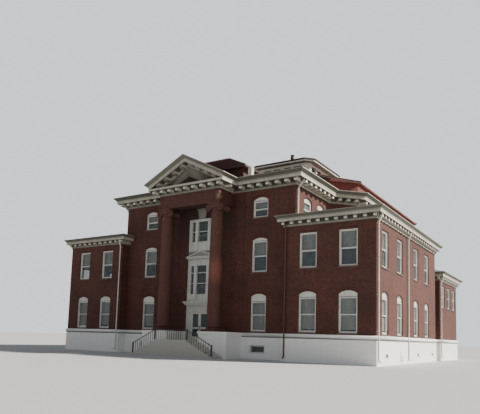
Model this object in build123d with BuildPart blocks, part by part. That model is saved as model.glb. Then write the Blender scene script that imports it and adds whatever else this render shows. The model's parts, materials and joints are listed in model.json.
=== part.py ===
"""Three storey brick courthouse with a columned porch, two wings and a lantern roof.

Lengths are in millimetres. X runs to the right seen from the front, Y to the back, Z up.
The origin lies on the ground under the middle of the whole building.
"""

import os
from collections import namedtuple
from math import atan2, cos, degrees, exp, hypot, log, pi, radians, sin, tan

from build123d import *

os.makedirs("parts", exist_ok=True)

# Plan
WALL = 440
WING_INNER = 8455
WING_OUTER = 15470
WING_DEPTH = 16630
MAIN_SETBACK = 900
SHOULDER_DEPTH = 6300
CANT = 1855
HALL_DEPTH = 22000
REAR_WING_GAP = 1870
REAR_WING_DEPTH = 7800

# Levels
PLINTH_TOP = 2010
PLINTH_PROUD = 60
PLINTH_WALL = 520
FIRST_FLOOR = 1300
SECOND_FLOOR = 5950
THIRD_FLOOR = 10330
MAIN_CEILING = 13700
WING_CEILING = 10200
REAR_WING_FLOOR = 4400
REAR_WING_CEILING = 8050
SLAB = 250
MAIN_FRIEZE = 13390
MAIN_BED = 13560
MAIN_SOFFIT = 13800
MAIN_FILLET = 13983
MAIN_GUTTER = 14350
WING_FRIEZE = 9911
WING_BED = 10060
WING_SOFFIT = 10270
WING_FILLET = 10430
WING_GUTTER = 10726
REAR_WING_GUTTER = 8500

# Cornices
FRIEZE_PROUD = 70
BED_PROUD = 130
MAIN_CORONA = 776
MAIN_OVERHANG = 1060
WING_CORONA = 430
WING_OVERHANG = 633
MODILLION_WIDTH = 260
MAIN_MODILLION_PITCH = 840
WING_MODILLION_WIDTH = 200
WING_MODILLION_PITCH = 690
MODILLION_SETBACK = 90
CYMA = ((0.14, 0.3), (0.72, 0.68), (1, 0.86), (1, 1))

# Roofs
FRONT_ROOF_PITCH = 7
WING_ROOF_PITCH = 2.4
REAR_WING_ROOF_PITCH = 18
REAR_WING_ROOF_RUN = 2400
ROOF_EDGE = 60
ROOF_DECK = 200
ATTIC_RISE = 1000
TILE_OVERHANG = 260
TILE_EDGE = 90
LANTERN_HALF_WIDTH = 3150
LANTERN_HALF_DEPTH = 3500
LANTERN_CANT = 415
LANTERN_WALL = 200
LANTERN_BASE = 19150
LANTERN_EAVE = 20330
LANTERN_TOP = 20590
LANTERN_OVERHANG = 660
LANTERN_ROOF_PITCH = 13
LANTERN_ROOF_RUN = 1200
LANTERN_POST = 260
LANTERN_SILL = 350
LANTERN_LAP = 60

# Attic over the middle bay
CROWN_HALF = 4000
CROWN_DEPTH = 2700
CROWN_EAVE = 15450
CROWN_OVERHANG = 420
CROWN_FASCIA = 120
CROWN_RIDGE_HALF = 1620
CROWN_RIDGE = 17050
VENT_SIDE = 340
VENT_TOP = 15420

# Porch
BEAM_HALF = 3090
BEAM_REACH = 1940
BEAM_WIDTH = 980
BEAM_BOTTOM = 12300
BEAM_FASCIAS = ((0, 320), (22, 360), (44, 310), (90, 100))
COLUMN_FOOT_RADIUS = 550
COLUMN_NECK_RADIUS = 470
COLUMN_FACETS = 24
COLUMN_PLINTH = 1300
COLUMN_PLINTH_HEIGHT = 150
LOWER_TORUS = 640
LOWER_TORUS_HEIGHT = 130
SCOTIA = 560
SCOTIA_HEIGHT = 70
SCOTIA_CURVE = ((30, 0), (30, 0.2), (0, 0.5), (15, 0.8), (15, 1))
UPPER_TORUS = 605
UPPER_TORUS_HEIGHT = 90
COLUMN_FILLET = 30
ENTASIS = ((0.33, 0.05), (0.7, 0.5))
COLUMN_NECK = 11560
ASTRAGAL = 510
ASTRAGAL_HEIGHT = 60
ECHINUS = 610
ECHINUS_BOTTOM = 11780
VOLUTE_X = 595
VOLUTE_RADIUS = 285
VOLUTE_WAIST = 200
VOLUTE_FACETS = 12
VOLUTE_TURNS = 2
VOLUTE_STEPS = 18
VOLUTE_EYE = 60
VOLUTE_BAND = 0.3
VOLUTE_RELIEF = 25
VOLUTE_COLLAR = 90
CAPITAL_DEPTH = 960
ABACUS_SIDE = 1180
ABACUS_HEIGHT = 130
CHANNEL_DROP = 190
PEDIMENT_APEX = 16410
RAKE_CYMA = 410
RAKE_FILLET = 160
RAKE_MODILLION = 220
RAKE_BED = 100
RAKE_BRACKETS = 4
TYMPANUM = 250
PEDESTAL_INNER = 1650
PEDESTAL_OUTER = 4300
PEDESTAL_REACH = 2150
PEDESTAL_CAP = 170
PEDESTAL_CAP_PROUD = 70
PILASTER_INNER = 3200
PILASTER_OUTER = 4300
PILASTER_PROUD = 50
PILASTER_CAP = (11950, 12150)
PILASTER_CAP_PROUD = 50
BELT = (10550, 10700)
BELT_PROUD = 30

# Door bay
BAY_HALF = 1480
BAY_RECESS = 130
BAY_PANEL = 160
BAY_HEAD = 11640
PANEL_SINK = 30
DOOR_HEAD = 3630
DOOR_CORNICE = 110
DOOR_CORNICE_PROUD = 50
SIDE_PANEL = (950, 1340)
SIDE_PANEL_FOOT = 250
SHELF_BOTTOM = 4230
SHELF_STEPS = ((100, 60), (100, 130), (120, 200))
LOW_LIGHT_SILL = 5180
TRANSOM_BAR = 6980
TRANSOM_HEAD = 7600
HOOD_BOTTOM = 8170
HOOD_TOP = 8380
HOOD_SINK = 70
HOOD_LEAST_EDGE = 10
HOOD_APEX = 8850
HOOD_SIDE = 70
HOOD_PROUD = 110
HOOD_BAND = 110
HIGH_LIGHT_SILL = 9680
HIGH_LIGHT_HEAD = 11400
BAR = 70
MIDDLE_LIGHT = 980
SIDE_LIGHT = 310
LIGHT_MULLION = 330
MULLION_PROUD = 35
MULLION_EDGE = 60
KEY_TOP = 12500
KEY_TOP_HALF = 480
KEY_FOOT_HALF = 340
KEY_PROUD = 60
KEY_CAP = 90
KEY_CAP_PROUD = 60

# Doors
LEAF_WIDTH = 860
LEAF_THICKNESS = 50
LEAF_GAP = 10
LEAF_STILE = 130
LEAF_FOOT = 300
LOCK_RAIL = 950
LOCK_RAIL_HEIGHT = 130
DOOR_GLASS = 12
PULL_BAR = 28
PULL_LENGTH = 360
PULL_STAND = 55
PULL_HEIGHT = 1015

# Windows
WINDOW_WIDTH = 1375
REVEAL = 110
FRAME_DEPTH = 110
FRAME_STILE = 110
MEETING_RAIL = 60
ARCH_STEPS = 5
PANE = 12
SILL_HEIGHT = 110
SILL_PROUD = 60
SILL_SIDE = 60

# Entrance steps
RISERS = 8
TREAD = 340
FLIGHT_WIDTH = 1400
FLIGHT_GAP = 20
RAIL_HEIGHT = 780
RAIL_SIDE = 50
BALUSTER = 22
BALUSTER_PITCH = 225
NEWEL = 70
NEWEL_RISE = 60

# Downspouts
PIPE_WIDTH = 100
PIPE_DEPTH = 80
PIPE_FOOT = 200
PIPE_SHOE = 90
STRAP_WIDTH = 160
STRAP_HEIGHT = 40
STRAPS = 3
STRAP_DROP = 320
WING_PIPES = (200, 7400)
CORNER_PIPE = 180

Storey = namedtuple("Storey", "sill spring crown panel meeting")
LOWER_WING = Storey(2134, 4865, 5083, 330, 3430)
LOWER_MAIN = Storey(2134, 4865, 5083, 500, 3430)
UPPER_WING = Storey(6778, 9370, 9370, 0, 8060)
UPPER_MAIN = Storey(6778, 9340, 9522, 180, 8060)
THIRD = Storey(11156, 12563, 12809, 160, 11830)
REAR_UPPER = Storey(5150, 7250, 7250, 0, 6200)
CELLAR = Storey(430, 1080, 1080, 0, 0)

# Window places along each wall
WING_INNER_BAY = 1956
WING_OUTER_BAY = 1993
WING_REAR_BAY = 2360
WING_SIDE_FRONT_BAYS = (1913, 5414)
WING_SIDE_BACK_BAYS = (6622, 3107)
MAIN_FRONT_BAYS = (5771,)
SHOULDER_BAYS = (3000, 5450)
HALL_SIDE_BAYS = (4000, 7500, 11000, 14500, 18000)
HALL_REAR_BAYS = (-5771, -2885, 0, 2885, 5771)
REAR_WING_SIDE_BAYS = (1410, 4100, 6390)
REAR_WING_END_BAY = 1470

# Places that follow from the plan
MAIN_HALF = WING_INNER + WALL
HALL_HALF = MAIN_HALF + CANT
HALL_START = MAIN_SETBACK + SHOULDER_DEPTH
HALL_END = HALL_START + HALL_DEPTH
STEP_RISE = FIRST_FLOOR / RISERS
STEP_REACH = PEDESTAL_REACH + FLIGHT_GAP + FLIGHT_WIDTH - MAIN_SETBACK
WING_FRONT = -(HALL_END + MAIN_OVERHANG - STEP_REACH) / 2
MAIN_FRONT = WING_FRONT + MAIN_SETBACK
HALL_FRONT = WING_FRONT + HALL_START
HALL_BACK = WING_FRONT + HALL_END
HALL_MIDDLE = (HALL_FRONT + HALL_BACK) / 2
WING_BACK = WING_FRONT + WING_DEPTH
REAR_WING_FRONT = WING_BACK + REAR_WING_GAP
REAR_WING_BACK = REAR_WING_FRONT + REAR_WING_DEPTH
BEAM_FRONT = MAIN_FRONT - BEAM_REACH
COLUMN_X = BEAM_HALF - BEAM_WIDTH / 2
COLUMN_Y = BEAM_FRONT + BEAM_WIDTH / 2
PEDESTAL_FRONT = MAIN_FRONT - PEDESTAL_REACH
BAY_FACE = MAIN_FRONT + BAY_RECESS
INNER_MAIN = MAIN_HALF - WALL
INNER_HALL = HALL_HALF - WALL
CAPITAL_TOP = BEAM_BOTTOM
SHELF_TOP = SHELF_BOTTOM + sum(height for height, proud in SHELF_STEPS)
WING_FRONT_BAYS = (WING_INNER + WING_INNER_BAY, WING_OUTER - WING_OUTER_BAY)
WING_SIDE_BAYS = WING_SIDE_FRONT_BAYS + tuple(WING_DEPTH - bay for bay in WING_SIDE_BACK_BAYS)
HIGH = 30000


def mirrored(points):
    """Closes a right-hand outline with its mirror image about the middle line."""
    return list(points) + [(-x, y) for x, y in reversed(points)]


MAIN_OUTLINE = mirrored(
    [
        (MAIN_HALF, MAIN_FRONT),
        (MAIN_HALF, HALL_FRONT),
        (HALL_HALF, HALL_FRONT + CANT),
        (HALL_HALF, HALL_BACK - CANT),
        (MAIN_HALF, HALL_BACK),
    ]
)
HALL_OUTLINE = mirrored(
    [
        (MAIN_HALF, HALL_FRONT),
        (HALL_HALF, HALL_FRONT + CANT),
        (HALL_HALF, HALL_BACK - CANT),
        (MAIN_HALF, HALL_BACK),
    ]
)
CORNICE_OUTLINE = mirrored(
    [
        (BEAM_HALF, BEAM_FRONT),
        (BEAM_HALF, MAIN_FRONT),
        (MAIN_HALF, MAIN_FRONT),
        (MAIN_HALF, HALL_FRONT),
        (HALL_HALF, HALL_FRONT + CANT),
        (HALL_HALF, HALL_BACK - CANT),
        (MAIN_HALF, HALL_BACK),
    ]
)
LANTERN_OUTLINE = mirrored(
    [
        (LANTERN_HALF_WIDTH - LANTERN_CANT, HALL_MIDDLE - LANTERN_HALF_DEPTH),
        (LANTERN_HALF_WIDTH, HALL_MIDDLE - LANTERN_HALF_DEPTH + LANTERN_CANT),
        (LANTERN_HALF_WIDTH, HALL_MIDDLE + LANTERN_HALF_DEPTH - LANTERN_CANT),
        (LANTERN_HALF_WIDTH - LANTERN_CANT, HALL_MIDDLE + LANTERN_HALF_DEPTH),
    ]
)


def moved(points, distance):
    """Corners of an outline whose sides are moved outwards by a distance, mitred."""
    corners = []
    for before, corner, after in zip(points[-1:] + points[:-1], points, points[1:] + points[:1]):
        into = Vector(corner[0] - before[0], corner[1] - before[1]).normalized()
        out = Vector(after[0] - corner[0], after[1] - corner[1]).normalized()
        share = distance / (1 + into.dot(out))
        corners.append(
            (corner[0] + share * (into.Y + out.Y), corner[1] - share * (into.X + out.X))
        )
    return corners


def prism(points, bottom, top, distance=0):
    """Upright block over an outline, whose sides are first moved outwards by a distance."""
    with BuildPart() as block:
        with BuildSketch(Plane.XY.offset(bottom)):
            with BuildLine():
                Polyline(*moved(points, distance), close=True)
            make_face()
        extrude(amount=top - bottom)
    return block.part


def frustum(foot, head):
    """Solid with flat sides between two outlines in space with as many corners."""
    sides = [
        Face(Wire.make_polygon([first, second, above_second, above_first]))
        for first, second, above_second, above_first in zip(
            foot, foot[1:] + foot[:1], head[1:] + head[:1], head
        )
    ]
    ends = [Face(Wire.make_polygon(foot)), Face(Wire.make_polygon(head))]
    return Solid(Shell(sides + ends))


def hipped(low, bottom, high, top):
    """Solid with flat sides between a low outline and a high one with as many corners."""
    return frustum([Vector(x, y, bottom) for x, y in low], [Vector(x, y, top) for x, y in high])


def flared(points, bottom, top, low, high):
    """Block over an outline, moved outwards by low at its foot and by high at its top."""
    return hipped(moved(points, low), bottom, moved(points, high), top)


def rectangle(x_low, x_high, y_low, y_high):
    """Corners of a rectangle on the plan."""
    return [(x_low, y_low), (x_high, y_low), (x_high, y_high), (x_low, y_high)]


def block(x_low, x_high, y_low, y_high, bottom, top):
    """Upright rectangular block between limits."""
    return prism(rectangle(x_low, x_high, y_low, y_high), bottom, top)


def upright(points, front, back):
    """Block whose outline is drawn on the front view, between two depths."""
    with BuildPart() as plate:
        with BuildSketch(Plane.XZ.offset(-back)):
            with BuildLine():
                Polyline(*points, close=True)
            make_face()
        extrude(amount=back - front)
    return plate.part


def both(shape):
    """A shape and its mirror image about the middle line."""
    return [shape, mirror(shape, about=Plane.YZ)]


def save(part, name):
    """Labels a finished piece and writes it out."""
    part.label = name
    export_step(part, f"parts/{name}.step")


# Windows

def wall_plane(x, y, turn):
    """Upright plane of a wall face at a point, its outward normal turned from the front."""
    outward = (sin(radians(turn)), -cos(radians(turn)), 0)
    along = (cos(radians(turn)), sin(radians(turn)), 0)
    return Plane(origin=(x, y, 0), x_dir=along, z_dir=outward)


def arch(half, spring, crown):
    """Points of a shallow round arch from its right foot to its left one, in equal steps."""
    rise = crown - spring
    if rise == 0:
        return [(half, spring), (-half, spring)]
    radius = (half ** 2 + rise ** 2) / (2 * rise)
    opening = 2 * atan2(rise, half)
    turns = [opening * (1 - 2 * step / ARCH_STEPS) for step in range(ARCH_STEPS + 1)]
    return [(radius * sin(turn), crown - radius * (1 - cos(turn))) for turn in turns]


def window_shape(place, storey, width):
    """Outline of a window on its wall: straight sides and a flat or shallow arched head."""
    half = width / 2
    with BuildSketch(place) as shape:
        with BuildLine():
            Polyline(
                (-half, storey.sill), (half, storey.sill),
                *arch(half, storey.spring, storey.crown), close=True
            )
        make_face()
    return shape.sketch


def window_cut(place, storey, width=WINDOW_WIDTH):
    """Solid that opens a wall for a window."""
    with BuildPart() as cut:
        extrude(window_shape(place, storey, width), amount=2 * WALL, both=True)
    return cut.part


def window_frame(place, storey, width=WINDOW_WIDTH):
    """Painted window frame with its sash openings."""
    glass_half = width / 2 - FRAME_STILE
    glass_top = storey.spring - max(storey.panel, FRAME_STILE)
    back = place.offset(-REVEAL - FRAME_DEPTH)
    with BuildPart() as frame:
        extrude(window_shape(back, storey, width), amount=FRAME_DEPTH)
        with BuildSketch(back):
            for low, high in sash_levels(storey, glass_top):
                with Locations((0, (low + high) / 2)):
                    Rectangle(2 * glass_half, high - low)
        extrude(amount=FRAME_DEPTH, mode=Mode.SUBTRACT)
    return frame.part


def sash_levels(storey, glass_top):
    """Foot and head of the glass in each sash, the lower one first."""
    foot = storey.sill + FRAME_STILE
    if not storey.meeting:
        return ((foot, glass_top),)
    return (
        (foot, storey.meeting - MEETING_RAIL / 2),
        (storey.meeting + MEETING_RAIL / 2, glass_top),
    )


def window_pane(place, storey, width=WINDOW_WIDTH):
    """Sheet of glass that lies against the back of a frame and covers both sashes."""
    low = storey.sill + FRAME_STILE / 2
    high = storey.spring - max(storey.panel, FRAME_STILE) / 2
    with BuildPart() as pane:
        with BuildSketch(place.offset(-REVEAL - FRAME_DEPTH - PANE)):
            with Locations((0, (low + high) / 2)):
                Rectangle(width - FRAME_STILE, high - low)
        extrude(amount=PANE)
    return pane.part


def window_sill(place, storey, width=WINDOW_WIDTH):
    """Projecting stone sill in the bottom of a window opening."""
    with BuildPart() as sill:
        with BuildSketch(place.offset(-REVEAL)):
            with Locations((0, storey.sill - SILL_HEIGHT / 2)):
                Rectangle(width + 2 * SILL_SIDE, SILL_HEIGHT)
        extrude(amount=REVEAL + SILL_PROUD)
    return sill.part


def sill_cut(place, storey, width=WINDOW_WIDTH):
    """Pocket in the wall that a sill is built into."""
    with BuildPart() as pocket:
        with BuildSketch(place.offset(-REVEAL)):
            with Locations((0, storey.sill - SILL_HEIGHT / 2)):
                Rectangle(width + 2 * SILL_SIDE, SILL_HEIGHT)
        extrude(amount=REVEAL)
    return pocket.part


def front_windows(xs, y, storeys, turn=0):
    """Windows of a wall that faces front or back."""
    return [(wall_plane(x, y, turn), storey) for x in xs for storey in storeys]


def side_windows(x, start, ys, storeys):
    """Windows of a wall that faces right, at distances from where it starts."""
    return [(wall_plane(x, start + y, 90), storey) for y in ys for storey in storeys]


WING_FRONT_WINDOWS = front_windows(WING_FRONT_BAYS, WING_FRONT, (LOWER_WING, UPPER_WING))
WING_SIDE_WINDOWS = side_windows(WING_OUTER, WING_FRONT, WING_SIDE_BAYS, (LOWER_WING, UPPER_WING))
WING_REAR_WINDOWS = front_windows(
    (WING_OUTER - WING_REAR_BAY,), WING_BACK, (LOWER_WING, UPPER_WING), 180
)
MAIN_FRONT_WINDOWS = front_windows(MAIN_FRONT_BAYS, MAIN_FRONT, (LOWER_MAIN, UPPER_MAIN, THIRD))
CELLAR_WINDOWS = front_windows(MAIN_FRONT_BAYS, MAIN_FRONT - PLINTH_PROUD, (CELLAR,))
SHOULDER_WINDOWS = side_windows(MAIN_HALF, WING_FRONT, SHOULDER_BAYS, (THIRD,))
HALL_SIDE_WINDOWS = side_windows(HALL_HALF, HALL_FRONT, HALL_SIDE_BAYS, (THIRD,))
HALL_REAR_WINDOWS = front_windows(HALL_REAR_BAYS, HALL_BACK, (LOWER_MAIN, UPPER_MAIN, THIRD), 180)
REAR_SIDE_WINDOWS = side_windows(WING_OUTER, REAR_WING_FRONT, REAR_WING_SIDE_BAYS, (REAR_UPPER,))
REAR_END_BAYS = (WING_OUTER - REAR_WING_END_BAY,)
REAR_FRONT_WINDOWS = front_windows(REAR_END_BAYS, REAR_WING_FRONT, (REAR_UPPER,))
REAR_BACK_WINDOWS = front_windows(REAR_END_BAYS, REAR_WING_BACK, (REAR_UPPER,), 180)
RIGHT_WINDOWS = (
    WING_FRONT_WINDOWS
    + WING_SIDE_WINDOWS
    + WING_REAR_WINDOWS
    + MAIN_FRONT_WINDOWS
    + SHOULDER_WINDOWS
    + HALL_SIDE_WINDOWS
    + REAR_SIDE_WINDOWS
    + REAR_FRONT_WINDOWS
    + REAR_BACK_WINDOWS
)


def pierced(wall, windows):
    """A wall with its windows and the pockets of their sills cut out."""
    with BuildPart() as opened:
        add(wall)
        add([window_cut(place, storey) for place, storey in windows], mode=Mode.SUBTRACT)
        add([sill_cut(place, storey) for place, storey in windows], mode=Mode.SUBTRACT)
    return opened.part


def joined(shapes):
    """One node out of several solids."""
    with BuildPart() as node:
        add(shapes)
    return node.part


# Foundations, painted, with a water table along the top

WING_PLAN = [
    (WING_INNER, WING_FRONT),
    (WING_OUTER, WING_FRONT),
    (WING_OUTER, WING_BACK),
    (HALL_HALF, WING_BACK),
    (HALL_HALF, HALL_FRONT + CANT),
    (MAIN_HALF, HALL_FRONT),
    (MAIN_HALF, MAIN_FRONT),
    (WING_INNER, MAIN_FRONT),
]
REAR_WING_PLAN = rectangle(HALL_HALF, WING_OUTER, REAR_WING_FRONT, REAR_WING_BACK)
CELLAR_WALL = PLINTH_WALL - PLINTH_PROUD
WING_CELLAR = rectangle(
    MAIN_HALF, WING_OUTER - CELLAR_WALL, WING_FRONT + CELLAR_WALL, WING_BACK - CELLAR_WALL
)
REAR_WING_CELLAR = rectangle(
    HALL_HALF, WING_OUTER - CELLAR_WALL, REAR_WING_FRONT + CELLAR_WALL,
    REAR_WING_BACK - CELLAR_WALL
)
MAIN_BODY = prism(MAIN_OUTLINE, -HIGH, HIGH)
PASSAGE_MIDDLE = (MAIN_FRONT + HALL_FRONT) / 2
PASSAGE_HALF = 800
PASSAGE_HEIGHT = 2400


def passage(floor):
    """Opening between the main block and a wing on one storey."""
    return block(
        WING_INNER - WALL,
        MAIN_HALF + PLINTH_WALL,
        PASSAGE_MIDDLE - PASSAGE_HALF,
        PASSAGE_MIDDLE + PASSAGE_HALF,
        floor,
        floor + PASSAGE_HEIGHT,
    )


with BuildPart() as main_foundation:
    add(prism(MAIN_OUTLINE, 0, PLINTH_TOP, PLINTH_PROUD))
    add(prism(MAIN_OUTLINE, 0, PLINTH_TOP, -CELLAR_WALL), mode=Mode.SUBTRACT)
    add(block(-BAY_HALF, BAY_HALF, MAIN_FRONT - WALL, MAIN_FRONT + 2 * WALL,
              FIRST_FLOOR, PLINTH_TOP), mode=Mode.SUBTRACT)
    add(both(passage(FIRST_FLOOR)), mode=Mode.SUBTRACT)
    for place, storey in CELLAR_WINDOWS:
        add(both(window_cut(place, storey)), mode=Mode.SUBTRACT)

with BuildPart() as wing_foundation:
    add(prism(WING_PLAN, 0, PLINTH_TOP, PLINTH_PROUD))
    add(prism(WING_CELLAR, 0, PLINTH_TOP), mode=Mode.SUBTRACT)
    add(prism(MAIN_OUTLINE, 0, PLINTH_TOP, PLINTH_PROUD), mode=Mode.SUBTRACT)

with BuildPart() as rear_wing_foundation:
    add(prism(REAR_WING_PLAN, 0, PLINTH_TOP, PLINTH_PROUD))
    add(prism(REAR_WING_CELLAR, 0, PLINTH_TOP), mode=Mode.SUBTRACT)
    add(prism(MAIN_OUTLINE, 0, PLINTH_TOP, PLINTH_PROUD), mode=Mode.SUBTRACT)

save(main_foundation.part, "main_foundation")
save(joined(both(wing_foundation.part)), "wing_foundations")
save(joined(both(rear_wing_foundation.part)), "rear_wing_foundations")

# Brick walls of the main block

with BuildPart() as front_half:
    add(
        prism(
            [
                (BAY_HALF, MAIN_FRONT),
                (MAIN_HALF, MAIN_FRONT),
                (INNER_MAIN, MAIN_FRONT + WALL),
                (BAY_HALF, MAIN_FRONT + WALL),
            ],
            PLINTH_TOP,
            MAIN_GUTTER,
        )
    )
    add(block(PILASTER_INNER, PILASTER_OUTER, MAIN_FRONT - PILASTER_PROUD, MAIN_FRONT,
              PLINTH_TOP, MAIN_FRIEZE))
    cap_side = PILASTER_CAP_PROUD
    add(block(PILASTER_INNER - cap_side, PILASTER_OUTER + cap_side,
              MAIN_FRONT - PILASTER_PROUD - cap_side, MAIN_FRONT, *PILASTER_CAP))
front_wall = pierced(front_half.part, MAIN_FRONT_WINDOWS)
save(front_wall, "front_wall_right")
save(mirror(front_wall, about=Plane.YZ), "front_wall_left")

belt = block(PILASTER_OUTER, WING_INNER - WING_OVERHANG, MAIN_FRONT - BELT_PROUD, MAIN_FRONT,
             *BELT)
save(joined(both(belt)), "belt_course")

KEY_SHAPE = [
    (-KEY_FOOT_HALF, BAY_HEAD),
    (KEY_FOOT_HALF, BAY_HEAD),
    (KEY_TOP_HALF, KEY_TOP),
    (-KEY_TOP_HALF, KEY_TOP),
]
with BuildPart() as front_wall_head:
    add(block(-BAY_HALF, BAY_HALF, MAIN_FRONT, MAIN_FRONT + WALL, BAY_HEAD, MAIN_GUTTER))
    add(upright(KEY_SHAPE, MAIN_FRONT, MAIN_FRONT + BAY_RECESS), mode=Mode.SUBTRACT)
save(front_wall_head.part, "front_wall_head")

with BuildPart() as keystone:
    add(upright(KEY_SHAPE, MAIN_FRONT - KEY_PROUD, MAIN_FRONT + BAY_RECESS))
    add(block(-KEY_TOP_HALF - KEY_CAP_PROUD, KEY_TOP_HALF + KEY_CAP_PROUD,
              MAIN_FRONT - KEY_PROUD - KEY_CAP_PROUD, MAIN_FRONT, KEY_TOP - KEY_CAP, KEY_TOP))
save(keystone.part, "keystone")

shoulder_wall = prism(
    [
        (MAIN_HALF, MAIN_FRONT),
        (MAIN_HALF, HALL_FRONT),
        (INNER_MAIN, HALL_FRONT + WALL * tan(radians(22.5))),
        (INNER_MAIN, MAIN_FRONT + WALL),
    ],
    PLINTH_TOP,
    MAIN_GUTTER,
)
with BuildPart() as shoulder:
    add(pierced(shoulder_wall, SHOULDER_WINDOWS))
    for floor in (FIRST_FLOOR, SECOND_FLOOR):
        add(passage(floor), mode=Mode.SUBTRACT)
save(joined(both(shoulder.part)), "shoulder_walls")

MITRE = WALL * tan(radians(22.5))
canted_front = prism(
    [
        (MAIN_HALF, HALL_FRONT),
        (HALL_HALF, HALL_FRONT + CANT),
        (INNER_HALL, HALL_FRONT + CANT + MITRE),
        (INNER_MAIN, HALL_FRONT + MITRE),
    ],
    PLINTH_TOP,
    MAIN_GUTTER,
)
canted_back = prism(
    [
        (HALL_HALF, HALL_BACK - CANT),
        (MAIN_HALF, HALL_BACK),
        (MAIN_HALF - MITRE, HALL_BACK - WALL),
        (INNER_HALL, HALL_BACK - CANT - MITRE),
    ],
    PLINTH_TOP,
    MAIN_GUTTER,
)
save(joined(both(canted_front) + both(canted_back)), "canted_walls")

hall_side = pierced(
    prism(
        [
            (HALL_HALF, HALL_FRONT + CANT),
            (HALL_HALF, HALL_BACK - CANT),
            (INNER_HALL, HALL_BACK - CANT - MITRE),
            (INNER_HALL, HALL_FRONT + CANT + MITRE),
        ],
        PLINTH_TOP,
        MAIN_GUTTER,
    ),
    HALL_SIDE_WINDOWS,
)
rear_wall = pierced(
    prism(
        [
            (MAIN_HALF, HALL_BACK),
            (-MAIN_HALF, HALL_BACK),
            (MITRE - MAIN_HALF, HALL_BACK - WALL),
            (MAIN_HALF - MITRE, HALL_BACK - WALL),
        ],
        PLINTH_TOP,
        MAIN_GUTTER,
    ),
    HALL_REAR_WINDOWS,
)
save(joined(both(hall_side) + [rear_wall]), "hall_walls")

# Brick walls of the wings

wing_front_wall = pierced(
    prism(
        [
            (WING_INNER, WING_FRONT),
            (WING_OUTER, WING_FRONT),
            (WING_OUTER - WALL, WING_FRONT + WALL),
            (MAIN_HALF, WING_FRONT + WALL),
            (MAIN_HALF, MAIN_FRONT),
            (WING_INNER, MAIN_FRONT),
        ],
        PLINTH_TOP,
        WING_GUTTER,
    ),
    WING_FRONT_WINDOWS,
)
wing_rear_wall = pierced(
    prism(
        [
            (HALL_HALF, WING_BACK),
            (HALL_HALF, WING_BACK - WALL),
            (WING_OUTER - WALL, WING_BACK - WALL),
            (WING_OUTER, WING_BACK),
        ],
        PLINTH_TOP,
        WING_GUTTER,
    ),
    WING_REAR_WINDOWS,
)
wing_side_wall = pierced(
    prism(
        [
            (WING_OUTER, WING_FRONT),
            (WING_OUTER, WING_BACK),
            (WING_OUTER - WALL, WING_BACK - WALL),
            (WING_OUTER - WALL, WING_FRONT + WALL),
        ],
        PLINTH_TOP,
        WING_GUTTER,
    ),
    WING_SIDE_WINDOWS,
)
save(joined(both(wing_front_wall) + both(wing_rear_wall)), "wing_end_walls")
save(joined(both(wing_side_wall)), "wing_side_walls")

with BuildPart() as rear_wing_walls:
    add(prism(REAR_WING_PLAN, PLINTH_TOP, REAR_WING_GUTTER))
    add(block(HALL_HALF, WING_OUTER - WALL, REAR_WING_FRONT + WALL, REAR_WING_BACK - WALL,
              PLINTH_TOP, REAR_WING_GUTTER), mode=Mode.SUBTRACT)
rear_wing_shell = pierced(
    rear_wing_walls.part, REAR_SIDE_WINDOWS + REAR_FRONT_WINDOWS + REAR_BACK_WINDOWS
)
save(joined(both(rear_wing_shell)), "rear_wing_walls")

# Floors

floors = []
for top in (SECOND_FLOOR, THIRD_FLOOR, MAIN_CEILING + SLAB):
    floors.append(prism(MAIN_OUTLINE, top - SLAB, top, -WALL))
floors.append(prism(MAIN_OUTLINE, FIRST_FLOOR - SLAB, FIRST_FLOOR, -CELLAR_WALL))
save(joined(floors), "main_floors")

wing_floors = []
with BuildPart() as low_wing_floor:
    add(prism(WING_CELLAR, FIRST_FLOOR - SLAB, FIRST_FLOOR))
    add(prism(MAIN_OUTLINE, FIRST_FLOOR - SLAB, FIRST_FLOOR, PLINTH_PROUD), mode=Mode.SUBTRACT)
wing_floors += both(low_wing_floor.part)
for top in (SECOND_FLOOR, WING_CEILING + SLAB):
    with BuildPart() as wing_slab:
        add(prism(WING_PLAN, top - SLAB, top))
        add(block(0, MAIN_HALF, WING_FRONT, MAIN_FRONT, 0, HIGH), mode=Mode.SUBTRACT)
        add(block(WING_INNER, WING_OUTER, WING_FRONT, WING_FRONT + WALL, 0, HIGH),
            mode=Mode.SUBTRACT)
        add(block(WING_OUTER - WALL, WING_OUTER, WING_FRONT, WING_BACK, 0, HIGH),
            mode=Mode.SUBTRACT)
        add(block(WING_INNER, WING_OUTER, WING_BACK - WALL, WING_BACK, 0, HIGH),
            mode=Mode.SUBTRACT)
    wing_floors += both(wing_slab.part)
save(joined(wing_floors), "wing_floors")

rear_floors = []
with BuildPart() as low_rear_floor:
    add(prism(REAR_WING_CELLAR, FIRST_FLOOR - SLAB, FIRST_FLOOR))
    add(prism(MAIN_OUTLINE, FIRST_FLOOR - SLAB, FIRST_FLOOR, PLINTH_PROUD), mode=Mode.SUBTRACT)
rear_floors += both(low_rear_floor.part)
for top in (REAR_WING_FLOOR, REAR_WING_CEILING + SLAB):
    rear_floors += both(
        block(HALL_HALF, WING_OUTER - WALL, REAR_WING_FRONT + WALL, REAR_WING_BACK - WALL,
              top - SLAB, top)
    )
save(joined(rear_floors), "rear_wing_floors")

# Cornices


def cyma(bottom, top, low, high):
    """Places out and up of a gutter's double curve, from its foot to its top."""
    curve = [(low, bottom)]
    for out_share, rise_share in CYMA:
        curve.append((low + out_share * (high - low), bottom + rise_share * (top - bottom)))
    return curve


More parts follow.
